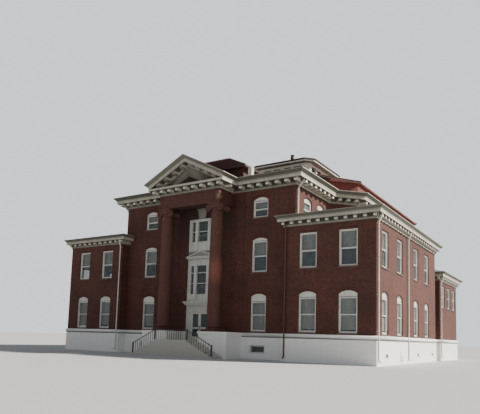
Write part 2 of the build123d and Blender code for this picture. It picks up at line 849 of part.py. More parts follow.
def cornice(points, levels, corona, overhang, hollow):
    """Frieze, bed, corona and curved gutter around an outline."""
    frieze, bed, soffit, fillet, gutter = levels
    curve = cyma(fillet, gutter, corona, overhang)
    with BuildPart() as ring:
        add(prism(points, frieze, bed, FRIEZE_PROUD))
        add(prism(points, bed, soffit, BED_PROUD))
        add(prism(points, soffit, fillet, corona))
        for (low_out, low), (high_out, high) in zip(curve, curve[1:]):
            add(flared(points, low, high, low_out, high_out))
        for shape in hollow:
            add(shape, mode=Mode.SUBTRACT)
    return ring.part


MAIN_LEVELS = (MAIN_FRIEZE, MAIN_BED, MAIN_SOFFIT, MAIN_FILLET, MAIN_GUTTER)
WING_LEVELS = (WING_FRIEZE, WING_BED, WING_SOFFIT, WING_FILLET, WING_GUTTER)
RAKE_SLOPE = (PEDIMENT_APEX - MAIN_GUTTER) / (BEAM_HALF + MAIN_OVERHANG)
RAKE_BAND = RAKE_CYMA + RAKE_FILLET
RAKE_BED_TOP = RAKE_BAND + RAKE_MODILLION

with BuildPart() as main_cornice:
    add(
        cornice(
            CORNICE_OUTLINE,
            MAIN_LEVELS,
            MAIN_CORONA,
            MAIN_OVERHANG,
            [prism(CORNICE_OUTLINE, MAIN_FRIEZE, MAIN_GUTTER)],
        )
    )
    add(block(-MAIN_HALF, MAIN_HALF, BEAM_FRONT - 2 * MAIN_OVERHANG, BEAM_FRONT, MAIN_FILLET,
              MAIN_GUTTER), mode=Mode.SUBTRACT)
save(main_cornice.part, "main_cornice")

wing_cornice = cornice(
    WING_PLAN,
    WING_LEVELS,
    WING_CORONA,
    WING_OVERHANG,
    [prism(WING_PLAN, WING_FRIEZE, WING_GUTTER), MAIN_BODY],
)
save(joined(both(wing_cornice)), "wing_cornices")

REAR_DROP = WING_GUTTER - REAR_WING_GUTTER
rear_wing_cornice = cornice(
    REAR_WING_PLAN,
    tuple(level - REAR_DROP for level in WING_LEVELS),
    WING_CORONA,
    WING_OVERHANG,
    [prism(REAR_WING_PLAN, WING_FRIEZE - REAR_DROP, REAR_WING_GUTTER), MAIN_BODY],
)
save(joined(both(rear_wing_cornice)), "rear_wing_cornices")

# Modillions under the coronas


def modillion_row(start, end, pitch, width, levels, corona, ends=(0, 0)):
    """Brackets under a corona, evenly spaced along one straight side of a wall."""
    length = hypot(end[0] - start[0], end[1] - start[1])
    turn = degrees(atan2(end[1] - start[1], end[0] - start[0]))
    first = -ends[0]
    last = length + ends[1]
    count = max(1, round((last - first) / pitch))
    step = (last - first) / count
    place = wall_plane(start[0], start[1], turn)
    bottom, top = levels
    row = []
    for index in range(count):
        with BuildPart() as bracket:
            with BuildSketch(place.offset(BED_PROUD)):
                with Locations((first + (index + 0.5) * step, (bottom + top) / 2)):
                    Rectangle(width, top - bottom)
            extrude(amount=corona - BED_PROUD - MODILLION_SETBACK)
        row.append(bracket.part)
    return row


MAIN_BRACKET = (MAIN_BED, MAIN_SOFFIT)
WING_BRACKET = (WING_BED, WING_SOFFIT)
REAR_BRACKET = (WING_BED - REAR_DROP, WING_SOFFIT - REAR_DROP)
OUT = MAIN_CORONA - MODILLION_SETBACK
WING_OUT = WING_CORONA - MODILLION_SETBACK


def main_row(start, end, ends):
    """Brackets along one side of the main block."""
    return modillion_row(start, end, MAIN_MODILLION_PITCH, MODILLION_WIDTH, MAIN_BRACKET,
                         MAIN_CORONA, ends)


def wing_row(start, end, ends, levels=WING_BRACKET):
    """Brackets along one side of a wing."""
    return modillion_row(start, end, WING_MODILLION_PITCH, WING_MODILLION_WIDTH, levels,
                         WING_CORONA, ends)


right_brackets = (
    main_row((BEAM_HALF, BEAM_FRONT), (BEAM_HALF, MAIN_FRONT), (0, -OUT))
    + main_row((BEAM_HALF, MAIN_FRONT), (MAIN_HALF, MAIN_FRONT), (-OUT, OUT))
    + main_row((MAIN_HALF, MAIN_FRONT), (MAIN_HALF, HALL_FRONT), (0, -OUT / 2))
    + main_row((MAIN_HALF, HALL_FRONT), (HALL_HALF, HALL_FRONT + CANT), (-OUT / 2, 0))
    + main_row((HALL_HALF, HALL_FRONT + CANT), (HALL_HALF, HALL_BACK - CANT), (0, 0))
    + main_row((HALL_HALF, HALL_BACK - CANT), (MAIN_HALF, HALL_BACK), (0, 0))
)
middle_brackets = (
    main_row((-BEAM_HALF, BEAM_FRONT), (BEAM_HALF, BEAM_FRONT), (OUT, OUT))
    + main_row((MAIN_HALF, HALL_BACK), (-MAIN_HALF, HALL_BACK), (0, 0))
)
rake_brackets = []
for index in range(RAKE_BRACKETS):
    left = (index + 0.5) * MAIN_MODILLION_PITCH - MODILLION_WIDTH / 2
    right = left + MODILLION_WIDTH
    rake_brackets += both(
        upright(
            [
                (left, PEDIMENT_APEX - RAKE_BED_TOP - left * RAKE_SLOPE),
                (right, PEDIMENT_APEX - RAKE_BED_TOP - right * RAKE_SLOPE),
                (right, PEDIMENT_APEX - RAKE_BAND - right * RAKE_SLOPE),
                (left, PEDIMENT_APEX - RAKE_BAND - left * RAKE_SLOPE),
            ],
            BEAM_FRONT - OUT,
            BEAM_FRONT - BED_PROUD,
        )
    )
bracket_set = [piece for bracket in right_brackets for piece in both(bracket)]
save(joined(bracket_set + middle_brackets + rake_brackets), "main_modillions")

wing_brackets = (
    wing_row((WING_INNER, WING_FRONT), (WING_OUTER, WING_FRONT), (WING_OUT, WING_OUT))
    + wing_row((WING_OUTER, WING_FRONT), (WING_OUTER, WING_BACK), (0, 0))
    + wing_row((WING_OUTER, WING_BACK), (HALL_HALF, WING_BACK), (WING_OUT, 0))
    + wing_row((HALL_HALF, REAR_WING_FRONT), (WING_OUTER, REAR_WING_FRONT), (0, WING_OUT),
               REAR_BRACKET)
    + wing_row((WING_OUTER, REAR_WING_FRONT), (WING_OUTER, REAR_WING_BACK), (0, 0), REAR_BRACKET)
    + wing_row((WING_OUTER, REAR_WING_BACK), (HALL_HALF, REAR_WING_BACK), (WING_OUT, 0),
               REAR_BRACKET)
)
save(joined([piece for bracket in wing_brackets for piece in both(bracket)]), "wing_modillions")

# Pediment over the porch


def rake_height(x, drop):
    """Height of a line under the pediment's top slope, for a place and a drop."""
    return PEDIMENT_APEX - drop - abs(x) * RAKE_SLOPE


RAKE_END = BEAM_HALF + MAIN_OVERHANG
RAKE_DIRECTION = (1, 0, -RAKE_SLOPE)
RAKE_LENGTH = RAKE_END * hypot(1, RAKE_SLOPE)
rake_curve = cyma(PEDIMENT_APEX - RAKE_CYMA, PEDIMENT_APEX, MAIN_CORONA, MAIN_OVERHANG)
side_curve = cyma(MAIN_FILLET, MAIN_GUTTER, MAIN_CORONA, MAIN_OVERHANG)
with BuildPart() as rake:
    with BuildSketch(Plane.YZ):
        with BuildLine():
            Polyline(
                (BEAM_FRONT, PEDIMENT_APEX),
                *[(BEAM_FRONT - out, height) for out, height in reversed(rake_curve)],
                (BEAM_FRONT - MAIN_CORONA, PEDIMENT_APEX - RAKE_BAND),
                (BEAM_FRONT - BED_PROUD, PEDIMENT_APEX - RAKE_BAND),
                (BEAM_FRONT - BED_PROUD, PEDIMENT_APEX - RAKE_BED_TOP),
                (BEAM_FRONT - FRIEZE_PROUD, PEDIMENT_APEX - RAKE_BED_TOP),
                (BEAM_FRONT - FRIEZE_PROUD, PEDIMENT_APEX - RAKE_BED_TOP - RAKE_BED),
                (BEAM_FRONT, PEDIMENT_APEX - RAKE_BED_TOP - RAKE_BED),
                close=True,
            )
        make_face()
    extrude(amount=RAKE_LENGTH, dir=RAKE_DIRECTION)
    add(
        upright(
            [(BEAM_HALF + out, height) for out, height in side_curve]
            + [
                (RAKE_END + MAIN_OVERHANG, MAIN_GUTTER),
                (RAKE_END + MAIN_OVERHANG, MAIN_FRIEZE),
                (0, MAIN_FRIEZE),
                (0, MAIN_FILLET),
            ],
            BEAM_FRONT - 2 * MAIN_OVERHANG,
            BEAM_FRONT,
        ),
        mode=Mode.SUBTRACT,
    )
save(joined(both(rake.part)), "pediment")

tympanum = upright(
    [
        (-BEAM_HALF, MAIN_FRIEZE),
        (BEAM_HALF, MAIN_FRIEZE),
        (BEAM_HALF, rake_height(BEAM_HALF, RAKE_CYMA)),
        (0, rake_height(0, RAKE_CYMA)),
        (-BEAM_HALF, rake_height(BEAM_HALF, RAKE_CYMA)),
    ],
    BEAM_FRONT,
    BEAM_FRONT + TYMPANUM,
)
save(tympanum, "tympanum")

crown_outline = rectangle(-CROWN_HALF, CROWN_HALF, MAIN_FRONT, MAIN_FRONT + CROWN_DEPTH)
crown_middle = MAIN_FRONT + CROWN_DEPTH / 2
crown_ridge = rectangle(
    -CROWN_RIDGE_HALF, CROWN_RIDGE_HALF, crown_middle - ROOF_EDGE, crown_middle + ROOF_EDGE
)
crown_eave = rectangle(
    -CROWN_HALF - CROWN_OVERHANG,
    CROWN_HALF + CROWN_OVERHANG,
    MAIN_FRONT - CROWN_OVERHANG,
    MAIN_FRONT + CROWN_DEPTH + CROWN_OVERHANG,
)
with BuildPart() as crown_hull:
    add(prism(crown_eave, CROWN_EAVE, CROWN_EAVE + CROWN_FASCIA))
    add(hipped(crown_eave, CROWN_EAVE + CROWN_FASCIA, crown_ridge, CROWN_RIDGE))
with BuildPart() as crown_roof:
    add(crown_hull.part)
    add(hipped(rectangle(WALL - CROWN_HALF, CROWN_HALF - WALL, MAIN_FRONT + WALL,
                         MAIN_FRONT + CROWN_DEPTH - WALL), CROWN_EAVE,
               crown_ridge, CROWN_RIDGE - 2 * ROOF_DECK), mode=Mode.SUBTRACT)
save(crown_roof.part, "crown_roof")

PORCH_ROOF_HALF = BEAM_HALF + MAIN_OVERHANG - ROOF_EDGE
with BuildPart() as porch_roof:
    add(
        upright(
            [
                (0, rake_height(0, 0)),
                (-PORCH_ROOF_HALF, rake_height(PORCH_ROOF_HALF, 0)),
                (-PORCH_ROOF_HALF, rake_height(PORCH_ROOF_HALF, RAKE_CYMA)),
                (0, rake_height(0, RAKE_CYMA)),
                (PORCH_ROOF_HALF, rake_height(PORCH_ROOF_HALF, RAKE_CYMA)),
                (PORCH_ROOF_HALF, rake_height(PORCH_ROOF_HALF, 0)),
            ],
            BEAM_FRONT,
            crown_middle,
        )
    )
    add(block(-WING_OUTER, WING_OUTER, 2 * WING_FRONT, HALL_BACK, 0, MAIN_GUTTER),
        mode=Mode.SUBTRACT)
    add(tympanum, mode=Mode.SUBTRACT)
    add(prism(crown_outline, MAIN_GUTTER, CROWN_EAVE), mode=Mode.SUBTRACT)
    add(crown_hull.part, mode=Mode.SUBTRACT)
    add(prism(crown_outline, CROWN_EAVE, HIGH), mode=Mode.SUBTRACT)
save(porch_roof.part, "porch_roof")

# Attic walls and roofs

with BuildPart() as crown_walls:
    add(prism(crown_outline, MAIN_GUTTER, CROWN_EAVE))
    add(prism(crown_outline, MAIN_GUTTER, CROWN_EAVE, -WALL), mode=Mode.SUBTRACT)
ATTIC_TOP = MAIN_GUTTER + ATTIC_RISE
with BuildPart() as hall_attic:
    add(prism(HALL_OUTLINE, MAIN_GUTTER, ATTIC_TOP))
    add(prism(HALL_OUTLINE, MAIN_GUTTER, ATTIC_TOP, -WALL), mode=Mode.SUBTRACT)
save(joined([crown_walls.part, hall_attic.part]), "attic_walls")

front_run = HALL_FRONT - MAIN_FRONT + MAIN_OVERHANG - ROOF_EDGE
front_rise = front_run * tan(radians(FRONT_ROOF_PITCH))
front_low_half = MAIN_HALF + MAIN_OVERHANG - ROOF_EDGE
front_edge = MAIN_FRONT - MAIN_OVERHANG + ROOF_EDGE
with BuildPart() as front_roof:
    add(
        hipped(
            rectangle(-front_low_half, front_low_half, front_edge, HALL_FRONT),
            MAIN_GUTTER,
            rectangle(front_run - front_low_half, front_low_half - front_run,
                      HALL_FRONT - ROOF_EDGE, HALL_FRONT),
            MAIN_GUTTER + front_rise,
        )
    )
    add(
        hipped(
            rectangle(2 * WALL - MAIN_HALF, MAIN_HALF - 2 * WALL, MAIN_FRONT + 2 * WALL,
                      HALL_FRONT),
            MAIN_GUTTER,
            rectangle(front_run - front_low_half, front_low_half - front_run,
                      HALL_FRONT - ROOF_EDGE, HALL_FRONT),
            MAIN_GUTTER + front_rise - ROOF_DECK,
        ),
        mode=Mode.SUBTRACT,
    )
    add(prism(crown_outline, MAIN_GUTTER, HIGH), mode=Mode.SUBTRACT)
    add(porch_roof.part, mode=Mode.SUBTRACT)
    add(block(-BEAM_HALF - MAIN_OVERHANG, BEAM_HALF + MAIN_OVERHANG, front_edge, MAIN_FRONT,
              MAIN_GUTTER, HIGH), mode=Mode.SUBTRACT)
save(front_roof.part, "front_roof")

with BuildPart() as hall_roof:
    add(prism(HALL_OUTLINE, ATTIC_TOP, ATTIC_TOP + TILE_EDGE, TILE_OVERHANG))
    add(hipped(moved(HALL_OUTLINE, TILE_OVERHANG), ATTIC_TOP + TILE_EDGE, LANTERN_OUTLINE,
               LANTERN_BASE))
    add(hipped(moved(HALL_OUTLINE, -WALL), ATTIC_TOP, moved(LANTERN_OUTLINE, -LANTERN_WALL),
               LANTERN_BASE), mode=Mode.SUBTRACT)
save(hall_roof.part, "hall_roof")

with BuildPart() as lantern_walls:
    add(prism(LANTERN_OUTLINE, LANTERN_BASE, LANTERN_EAVE))
    add(prism(LANTERN_OUTLINE, LANTERN_BASE, LANTERN_EAVE, -LANTERN_WALL), mode=Mode.SUBTRACT)
    light_bottom = LANTERN_BASE + LANTERN_SILL
    light_top = LANTERN_EAVE - LANTERN_POST
    side_half = LANTERN_HALF_DEPTH - LANTERN_CANT - LANTERN_POST
    for index in range(4):
        step = 2 * side_half / 4
        low = HALL_MIDDLE - side_half + index * step + LANTERN_POST / 2
        add(block(-LANTERN_HALF_WIDTH - WALL, LANTERN_HALF_WIDTH + WALL, low,
                  low + step - LANTERN_POST, light_bottom, light_top), mode=Mode.SUBTRACT)
    front_half_width = LANTERN_HALF_WIDTH - LANTERN_CANT - LANTERN_POST
    for index in range(4):
        step = 2 * front_half_width / 4
        low = -front_half_width + index * step + LANTERN_POST / 2
        add(block(low, low + step - LANTERN_POST, HALL_MIDDLE - LANTERN_HALF_DEPTH - WALL,
                  HALL_MIDDLE + LANTERN_HALF_DEPTH + WALL, light_bottom, light_top),
            mode=Mode.SUBTRACT)
save(lantern_walls.part, "lantern_walls")

LANTERN_INNER = LANTERN_HALF_WIDTH - LANTERN_WALL
LANTERN_INNER_DEPTH = LANTERN_HALF_DEPTH - LANTERN_WALL
pane_low = light_bottom - LANTERN_LAP
pane_high = light_top + LANTERN_LAP
lantern_side = block(LANTERN_INNER - PANE, LANTERN_INNER, HALL_MIDDLE - side_half,
                     HALL_MIDDLE + side_half, pane_low, pane_high)
lantern_end = block(-front_half_width, front_half_width, 0, PANE, pane_low, pane_high)
lantern_panes = both(lantern_side) + [
    lantern_end.moved(Location((0, HALL_MIDDLE - LANTERN_INNER_DEPTH, 0))),
    lantern_end.moved(Location((0, HALL_MIDDLE + LANTERN_INNER_DEPTH - PANE, 0))),
]

LANTERN_DECK = LANTERN_TOP + LANTERN_ROOF_RUN * tan(radians(LANTERN_ROOF_PITCH))
deck_inset = LANTERN_OVERHANG - LANTERN_ROOF_RUN - ROOF_EDGE
deck_half = LANTERN_HALF_WIDTH + deck_inset
deck_depth = LANTERN_HALF_DEPTH + deck_inset
ridge_half = deck_depth - deck_half + ROOF_EDGE
with BuildPart() as lantern_roof:
    add(prism(LANTERN_OUTLINE, LANTERN_EAVE, LANTERN_TOP, LANTERN_OVERHANG))
    add(flared(LANTERN_OUTLINE, LANTERN_TOP, LANTERN_DECK, LANTERN_OVERHANG,
               LANTERN_OVERHANG - LANTERN_ROOF_RUN))
    add(hipped(rectangle(-deck_half, deck_half, HALL_MIDDLE - deck_depth,
                         HALL_MIDDLE + deck_depth), LANTERN_DECK,
               rectangle(-ROOF_EDGE, ROOF_EDGE, HALL_MIDDLE - ridge_half,
                         HALL_MIDDLE + ridge_half),
               LANTERN_DECK + (deck_half - ROOF_EDGE) * tan(radians(LANTERN_ROOF_PITCH))))
save(lantern_roof.part, "lantern_roof")

wing_eave_low = rectangle(
    0, WING_OUTER + WING_OVERHANG - ROOF_EDGE, WING_FRONT - WING_OVERHANG + ROOF_EDGE,
    WING_BACK + WING_OVERHANG - ROOF_EDGE
)
WING_ROOF_RUN = WING_OUTER + WING_OVERHANG - MAIN_HALF
wing_eave_high = rectangle(
    0, WING_OUTER + WING_OVERHANG - ROOF_EDGE - WING_ROOF_RUN,
    WING_FRONT - WING_OVERHANG + ROOF_EDGE + WING_ROOF_RUN,
    WING_BACK + WING_OVERHANG - ROOF_EDGE - WING_ROOF_RUN
)
with BuildPart() as wing_roof:
    add(hipped(wing_eave_low, WING_GUTTER, wing_eave_high,
               WING_GUTTER + WING_ROOF_RUN * tan(radians(WING_ROOF_PITCH))))
    add(MAIN_BODY, mode=Mode.SUBTRACT)
    add(block(-WING_INNER, WING_INNER - WING_OVERHANG + ROOF_EDGE, 2 * WING_FRONT, MAIN_FRONT,
              0, HIGH), mode=Mode.SUBTRACT)
save(joined(both(wing_roof.part)), "wing_roofs")

rear_low = rectangle(
    0, WING_OUTER + WING_OVERHANG - ROOF_EDGE, REAR_WING_FRONT - WING_OVERHANG + ROOF_EDGE,
    REAR_WING_BACK + WING_OVERHANG - ROOF_EDGE
)
rear_high = rectangle(
    0, WING_OUTER + WING_OVERHANG - ROOF_EDGE - REAR_WING_ROOF_RUN,
    REAR_WING_FRONT - WING_OVERHANG + ROOF_EDGE + REAR_WING_ROOF_RUN,
    REAR_WING_BACK + WING_OVERHANG - ROOF_EDGE - REAR_WING_ROOF_RUN
)
with BuildPart() as rear_wing_roof:
    add(hipped(rear_low, REAR_WING_GUTTER, rear_high,
               REAR_WING_GUTTER + REAR_WING_ROOF_RUN * tan(radians(REAR_WING_ROOF_PITCH))))
    add(MAIN_BODY, mode=Mode.SUBTRACT)
save(joined(both(rear_wing_roof.part)), "rear_wing_roofs")

with BuildPart() as roof_vent:
    add(block(CROWN_HALF + CROWN_OVERHANG + ROOF_EDGE,
              CROWN_HALF + CROWN_OVERHANG + ROOF_EDGE + VENT_SIDE,
              MAIN_FRONT, MAIN_FRONT + VENT_SIDE, MAIN_GUTTER, VENT_TOP))
    add(front_roof.part, mode=Mode.SUBTRACT)
save(roof_vent.part, "roof_vent")

# Porch

with BuildPart() as porch_beam:
    low = BEAM_BOTTOM
    for proud, height in BEAM_FASCIAS:
        add(block(-BEAM_HALF - proud, BEAM_HALF + proud, BEAM_FRONT - proud, MAIN_FRONT,
                  low, low + height))
        low += height
    add(block(BEAM_WIDTH - BEAM_HALF, BEAM_HALF - BEAM_WIDTH, BEAM_FRONT + BEAM_WIDTH, MAIN_FRONT,
              BEAM_BOTTOM, low), mode=Mode.SUBTRACT)
save(porch_beam.part, "porch_beam")

with BuildPart() as porch_ceiling:
    add(block(-BEAM_HALF, BEAM_HALF, BEAM_FRONT + TYMPANUM, MAIN_FRONT, MAIN_FRIEZE,
              MAIN_FRIEZE + SLAB))
save(porch_ceiling.part, "porch_ceiling")



def ring(radius, height, x, y, facets=COLUMN_FACETS):
    """Corners of a regular polygon that stands for a circle at a height."""
    turns = [2 * pi * (step + 0.5) / facets for step in range(facets)]
    return [Vector(x + radius * cos(turn), y + radius * sin(turn), height) for turn in turns]


def turned(profile, x, y):
    """Turned piece about an upright axis, from pairs of radius and height going up."""
    with BuildPart() as piece:
        for (low_radius, low), (high_radius, high) in zip(profile, profile[1:]):
            if high > low:
                add(frustum(ring(low_radius, low, x, y), ring(high_radius, high, x, y)))
    return piece.part


def torus(radius, bottom, height):
    """Profile of a half round moulding."""
    turns = [-pi / 2, -pi / 4, 0, pi / 4, pi / 2]
    return [
        (radius - height / 2 * (1 - cos(turn)), bottom + height / 2 * (1 + sin(turn)))
        for turn in turns
    ]


BASE_BOTTOM = PLINTH_TOP + COLUMN_PLINTH_HEIGHT
SCOTIA_BOTTOM = BASE_BOTTOM + LOWER_TORUS_HEIGHT
UPPER_TORUS_BOTTOM = SCOTIA_BOTTOM + SCOTIA_HEIGHT
SHAFT_BOTTOM = UPPER_TORUS_BOTTOM + UPPER_TORUS_HEIGHT + COLUMN_FILLET
SHAFT_HEIGHT = COLUMN_NECK - SHAFT_BOTTOM
SHAFT_NARROWING = COLUMN_FOOT_RADIUS - COLUMN_NECK_RADIUS
column_profile = (
    torus(LOWER_TORUS, BASE_BOTTOM, LOWER_TORUS_HEIGHT)
    + [(SCOTIA + out, SCOTIA_BOTTOM + share * SCOTIA_HEIGHT) for out, share in SCOTIA_CURVE]
    + torus(UPPER_TORUS, UPPER_TORUS_BOTTOM, UPPER_TORUS_HEIGHT)
    + [
        (COLUMN_FOOT_RADIUS + COLUMN_FILLET / 2, SHAFT_BOTTOM - COLUMN_FILLET),
        (COLUMN_FOOT_RADIUS + COLUMN_FILLET / 2, SHAFT_BOTTOM),
        (COLUMN_FOOT_RADIUS, SHAFT_BOTTOM),
    ]
    + [
        (COLUMN_FOOT_RADIUS - narrowed * SHAFT_NARROWING, SHAFT_BOTTOM + share * SHAFT_HEIGHT)
        for share, narrowed in ENTASIS
    ]
    + [(COLUMN_NECK_RADIUS, COLUMN_NECK)]
)
with BuildPart() as column:
    add(block(COLUMN_X - COLUMN_PLINTH / 2, COLUMN_X + COLUMN_PLINTH / 2,
              COLUMN_Y - COLUMN_PLINTH / 2, COLUMN_Y + COLUMN_PLINTH / 2,
              PLINTH_TOP, BASE_BOTTOM))
    add(turned(column_profile, COLUMN_X, COLUMN_Y))
save(joined(both(column.part)), "columns")

VOLUTE_Z = CAPITAL_TOP - ABACUS_HEIGHT - VOLUTE_RADIUS
CAPITAL_FRONT = COLUMN_Y - CAPITAL_DEPTH / 2
CAPITAL_BACK = COLUMN_Y + CAPITAL_DEPTH / 2
VOLUTE_RATE = log(VOLUTE_RADIUS / VOLUTE_EYE) / VOLUTE_STEPS


def disc(radius, x, y):
    """Corners of a regular polygon about a volute's centre, on the front view."""
    turns = [2 * pi * step / VOLUTE_FACETS for step in range(VOLUTE_FACETS)]
    return [Vector(x + radius * cos(turn), y, VOLUTE_Z + radius * sin(turn)) for turn in turns]


def bolster(x):
    """Side roll of a capital, waisted between its two faces."""
    stations = (
        (CAPITAL_FRONT, VOLUTE_RADIUS),
        (CAPITAL_FRONT + VOLUTE_COLLAR, VOLUTE_RADIUS),
        (COLUMN_Y, VOLUTE_WAIST),
        (CAPITAL_BACK - VOLUTE_COLLAR, VOLUTE_RADIUS),
        (CAPITAL_BACK, VOLUTE_RADIUS),
    )
    with BuildPart() as roll:
        for (front, front_radius), (back, back_radius) in zip(stations, stations[1:]):
            add(frustum(disc(front_radius, x, front), disc(back_radius, x, back)))
    return roll.part


def spiral(x, side):
    """Outline of a volute's spiral band, winding inwards and down from its top."""
    outer = []
    inner = []
    for step in range(VOLUTE_STEPS + 1):
        turn = pi / 2 - side * 2 * pi * VOLUTE_TURNS * step / VOLUTE_STEPS
        radius = VOLUTE_RADIUS * exp(-VOLUTE_RATE * step)
        band = radius * (1 - VOLUTE_BAND)
        outer.append((x + radius * cos(turn), VOLUTE_Z + radius * sin(turn)))
        inner.append((x + band * cos(turn), VOLUTE_Z + band * sin(turn)))
    return outer + inner[::-1]


with BuildPart() as capital:
    add(
        turned(
            torus(ASTRAGAL, COLUMN_NECK, ASTRAGAL_HEIGHT)
            + [
                (COLUMN_NECK_RADIUS, COLUMN_NECK + ASTRAGAL_HEIGHT),
                (COLUMN_NECK_RADIUS, ECHINUS_BOTTOM),
                ((COLUMN_NECK_RADIUS + 2 * ECHINUS) / 3, (ECHINUS_BOTTOM + VOLUTE_Z) / 2),
                (ECHINUS, VOLUTE_Z),
                (ECHINUS, CAPITAL_TOP - ABACUS_HEIGHT),
            ],
            COLUMN_X,
            COLUMN_Y,
        )
    )
    add(block(COLUMN_X - VOLUTE_X, COLUMN_X + VOLUTE_X, CAPITAL_FRONT, CAPITAL_BACK,
              CAPITAL_TOP - ABACUS_HEIGHT - CHANNEL_DROP, CAPITAL_TOP - ABACUS_HEIGHT))
    add(block(COLUMN_X - ABACUS_SIDE / 2, COLUMN_X + ABACUS_SIDE / 2,
              COLUMN_Y - ABACUS_SIDE / 2, COLUMN_Y + ABACUS_SIDE / 2,
              CAPITAL_TOP - ABACUS_HEIGHT, CAPITAL_TOP))
    for side in (-1, 1):
        centre = COLUMN_X + side * VOLUTE_X
        add(bolster(centre))
        band = spiral(centre, side)
        add(upright(band, CAPITAL_FRONT - VOLUTE_RELIEF, CAPITAL_FRONT))
        add(upright(band, CAPITAL_BACK, CAPITAL_BACK + VOLUTE_RELIEF))
save(joined(both(capital.part)), "capitals")

with BuildPart() as pedestal:
    add(block(PEDESTAL_INNER, PEDESTAL_OUTER, PEDESTAL_FRONT, MAIN_FRONT - PLINTH_PROUD, 0,
              PLINTH_TOP))
    add(block(PEDESTAL_INNER - PEDESTAL_CAP_PROUD, PEDESTAL_OUTER + PEDESTAL_CAP_PROUD,
              PEDESTAL_FRONT - PEDESTAL_CAP_PROUD, MAIN_FRONT - PLINTH_PROUD,
              PLINTH_TOP - PEDESTAL_CAP, PLINTH_TOP))
save(joined(both(pedestal.part)), "pedestals")

# Door bay

LIGHT_EDGES = (
    (-MIDDLE_LIGHT / 2 - LIGHT_MULLION - SIDE_LIGHT, -MIDDLE_LIGHT / 2 - LIGHT_MULLION),
    (-MIDDLE_LIGHT / 2, MIDDLE_LIGHT / 2),
    (MIDDLE_LIGHT / 2 + LIGHT_MULLION, MIDDLE_LIGHT / 2 + LIGHT_MULLION + SIDE_LIGHT),
)
LOW_LIGHTS = (
    (LOW_LIGHT_SILL, (LOW_LIGHT_SILL + TRANSOM_BAR) / 2 - BAR / 2),
    ((LOW_LIGHT_SILL + TRANSOM_BAR) / 2 + BAR / 2, TRANSOM_BAR - BAR / 2),
    (TRANSOM_BAR + BAR / 2, TRANSOM_HEAD),
)
HIGH_LIGHTS = (
    (HIGH_LIGHT_SILL, (HIGH_LIGHT_SILL + HIGH_LIGHT_HEAD) / 2 - BAR / 2),
    ((HIGH_LIGHT_SILL + HIGH_LIGHT_HEAD) / 2 + BAR / 2, HIGH_LIGHT_HEAD),
)
DOOR_HALF = LEAF_WIDTH + 1.5 * LEAF_GAP
SUNK_ROWS = ((SHELF_TOP, LOW_LIGHT_SILL), (HOOD_APEX, HIGH_LIGHT_SILL))


def moulding(side, proud, bottom, top):
    """Band over the door bay that returns on the wall beside it."""
    with BuildPart() as band:
        add(block(-BAY_HALF - side, BAY_HALF + side, MAIN_FRONT - proud, MAIN_FRONT, bottom, top))
        add(block(-BAY_HALF, BAY_HALF, MAIN_FRONT, BAY_FACE, bottom, top))
    return band.part


def hood_line(half, inset=0):
    """Outline of the small pediment over the bay, cut off at a half width."""
    width = BAY_HALF + HOOD_SIDE
    slope = (HOOD_APEX - HOOD_TOP) / width
    end = min(half, width - inset / slope)
    edge = HOOD_APEX - inset - end * slope
    corners = [(-end, HOOD_TOP), (end, HOOD_TOP), (end, edge), (0, HOOD_APEX - inset), (-end, edge)]
    return corners[:2] + [
        point for point in corners[2:] if point[1] > HOOD_TOP + HOOD_LEAST_EDGE
    ]


with BuildPart() as door_bay:
    add(block(-BAY_HALF, BAY_HALF, BAY_FACE, BAY_FACE + BAY_PANEL, FIRST_FLOOR, BAY_HEAD))
    add(block(-DOOR_HALF, DOOR_HALF, BAY_FACE, BAY_FACE + BAY_PANEL, FIRST_FLOOR, DOOR_HEAD),
        mode=Mode.SUBTRACT)
    add(both(block(*SIDE_PANEL, BAY_FACE, BAY_FACE + PANEL_SINK, FIRST_FLOOR + SIDE_PANEL_FOOT,
                   DOOR_HEAD - MULLION_EDGE)), mode=Mode.SUBTRACT)
    for left, right in LIGHT_EDGES:
        for low, high in LOW_LIGHTS + HIGH_LIGHTS:
            add(block(left, right, BAY_FACE, BAY_FACE + BAY_PANEL, low, high), mode=Mode.SUBTRACT)
        for low, high in SUNK_ROWS:
            add(block(left, right, BAY_FACE, BAY_FACE + PANEL_SINK, low + MULLION_EDGE,
                      high - MULLION_EDGE), mode=Mode.SUBTRACT)
    mullion = (MIDDLE_LIGHT / 2 + MULLION_EDGE, MIDDLE_LIGHT / 2 + LIGHT_MULLION - MULLION_EDGE)
    for low, high in ((SHELF_TOP, TRANSOM_HEAD), (HOOD_APEX, HIGH_LIGHT_HEAD)):
        add(both(block(*mullion, BAY_FACE - MULLION_PROUD, BAY_FACE, low, high + MULLION_EDGE)))
    add(block(-BAY_HALF, BAY_HALF, BAY_FACE - DOOR_CORNICE_PROUD, BAY_FACE, DOOR_HEAD,
              DOOR_HEAD + DOOR_CORNICE))
    low = SHELF_BOTTOM
    for height, proud in SHELF_STEPS:
        add(moulding(proud, proud, low, low + height))
        low += height
    add(moulding(0, HOOD_PROUD / 2, HOOD_BOTTOM, (HOOD_BOTTOM + HOOD_TOP) / 2))
    add(moulding(HOOD_SIDE, HOOD_PROUD, (HOOD_BOTTOM + HOOD_TOP) / 2, HOOD_TOP))
    add(upright(hood_line(BAY_HALF), MAIN_FRONT, BAY_FACE))
    add(upright(hood_line(BAY_HALF + HOOD_SIDE), MAIN_FRONT - HOOD_PROUD, MAIN_FRONT))
    add(upright(hood_line(BAY_HALF + HOOD_SIDE, HOOD_BAND), MAIN_FRONT - HOOD_PROUD,
                MAIN_FRONT - HOOD_PROUD + HOOD_SINK), mode=Mode.SUBTRACT)
save(door_bay.part, "door_bay")

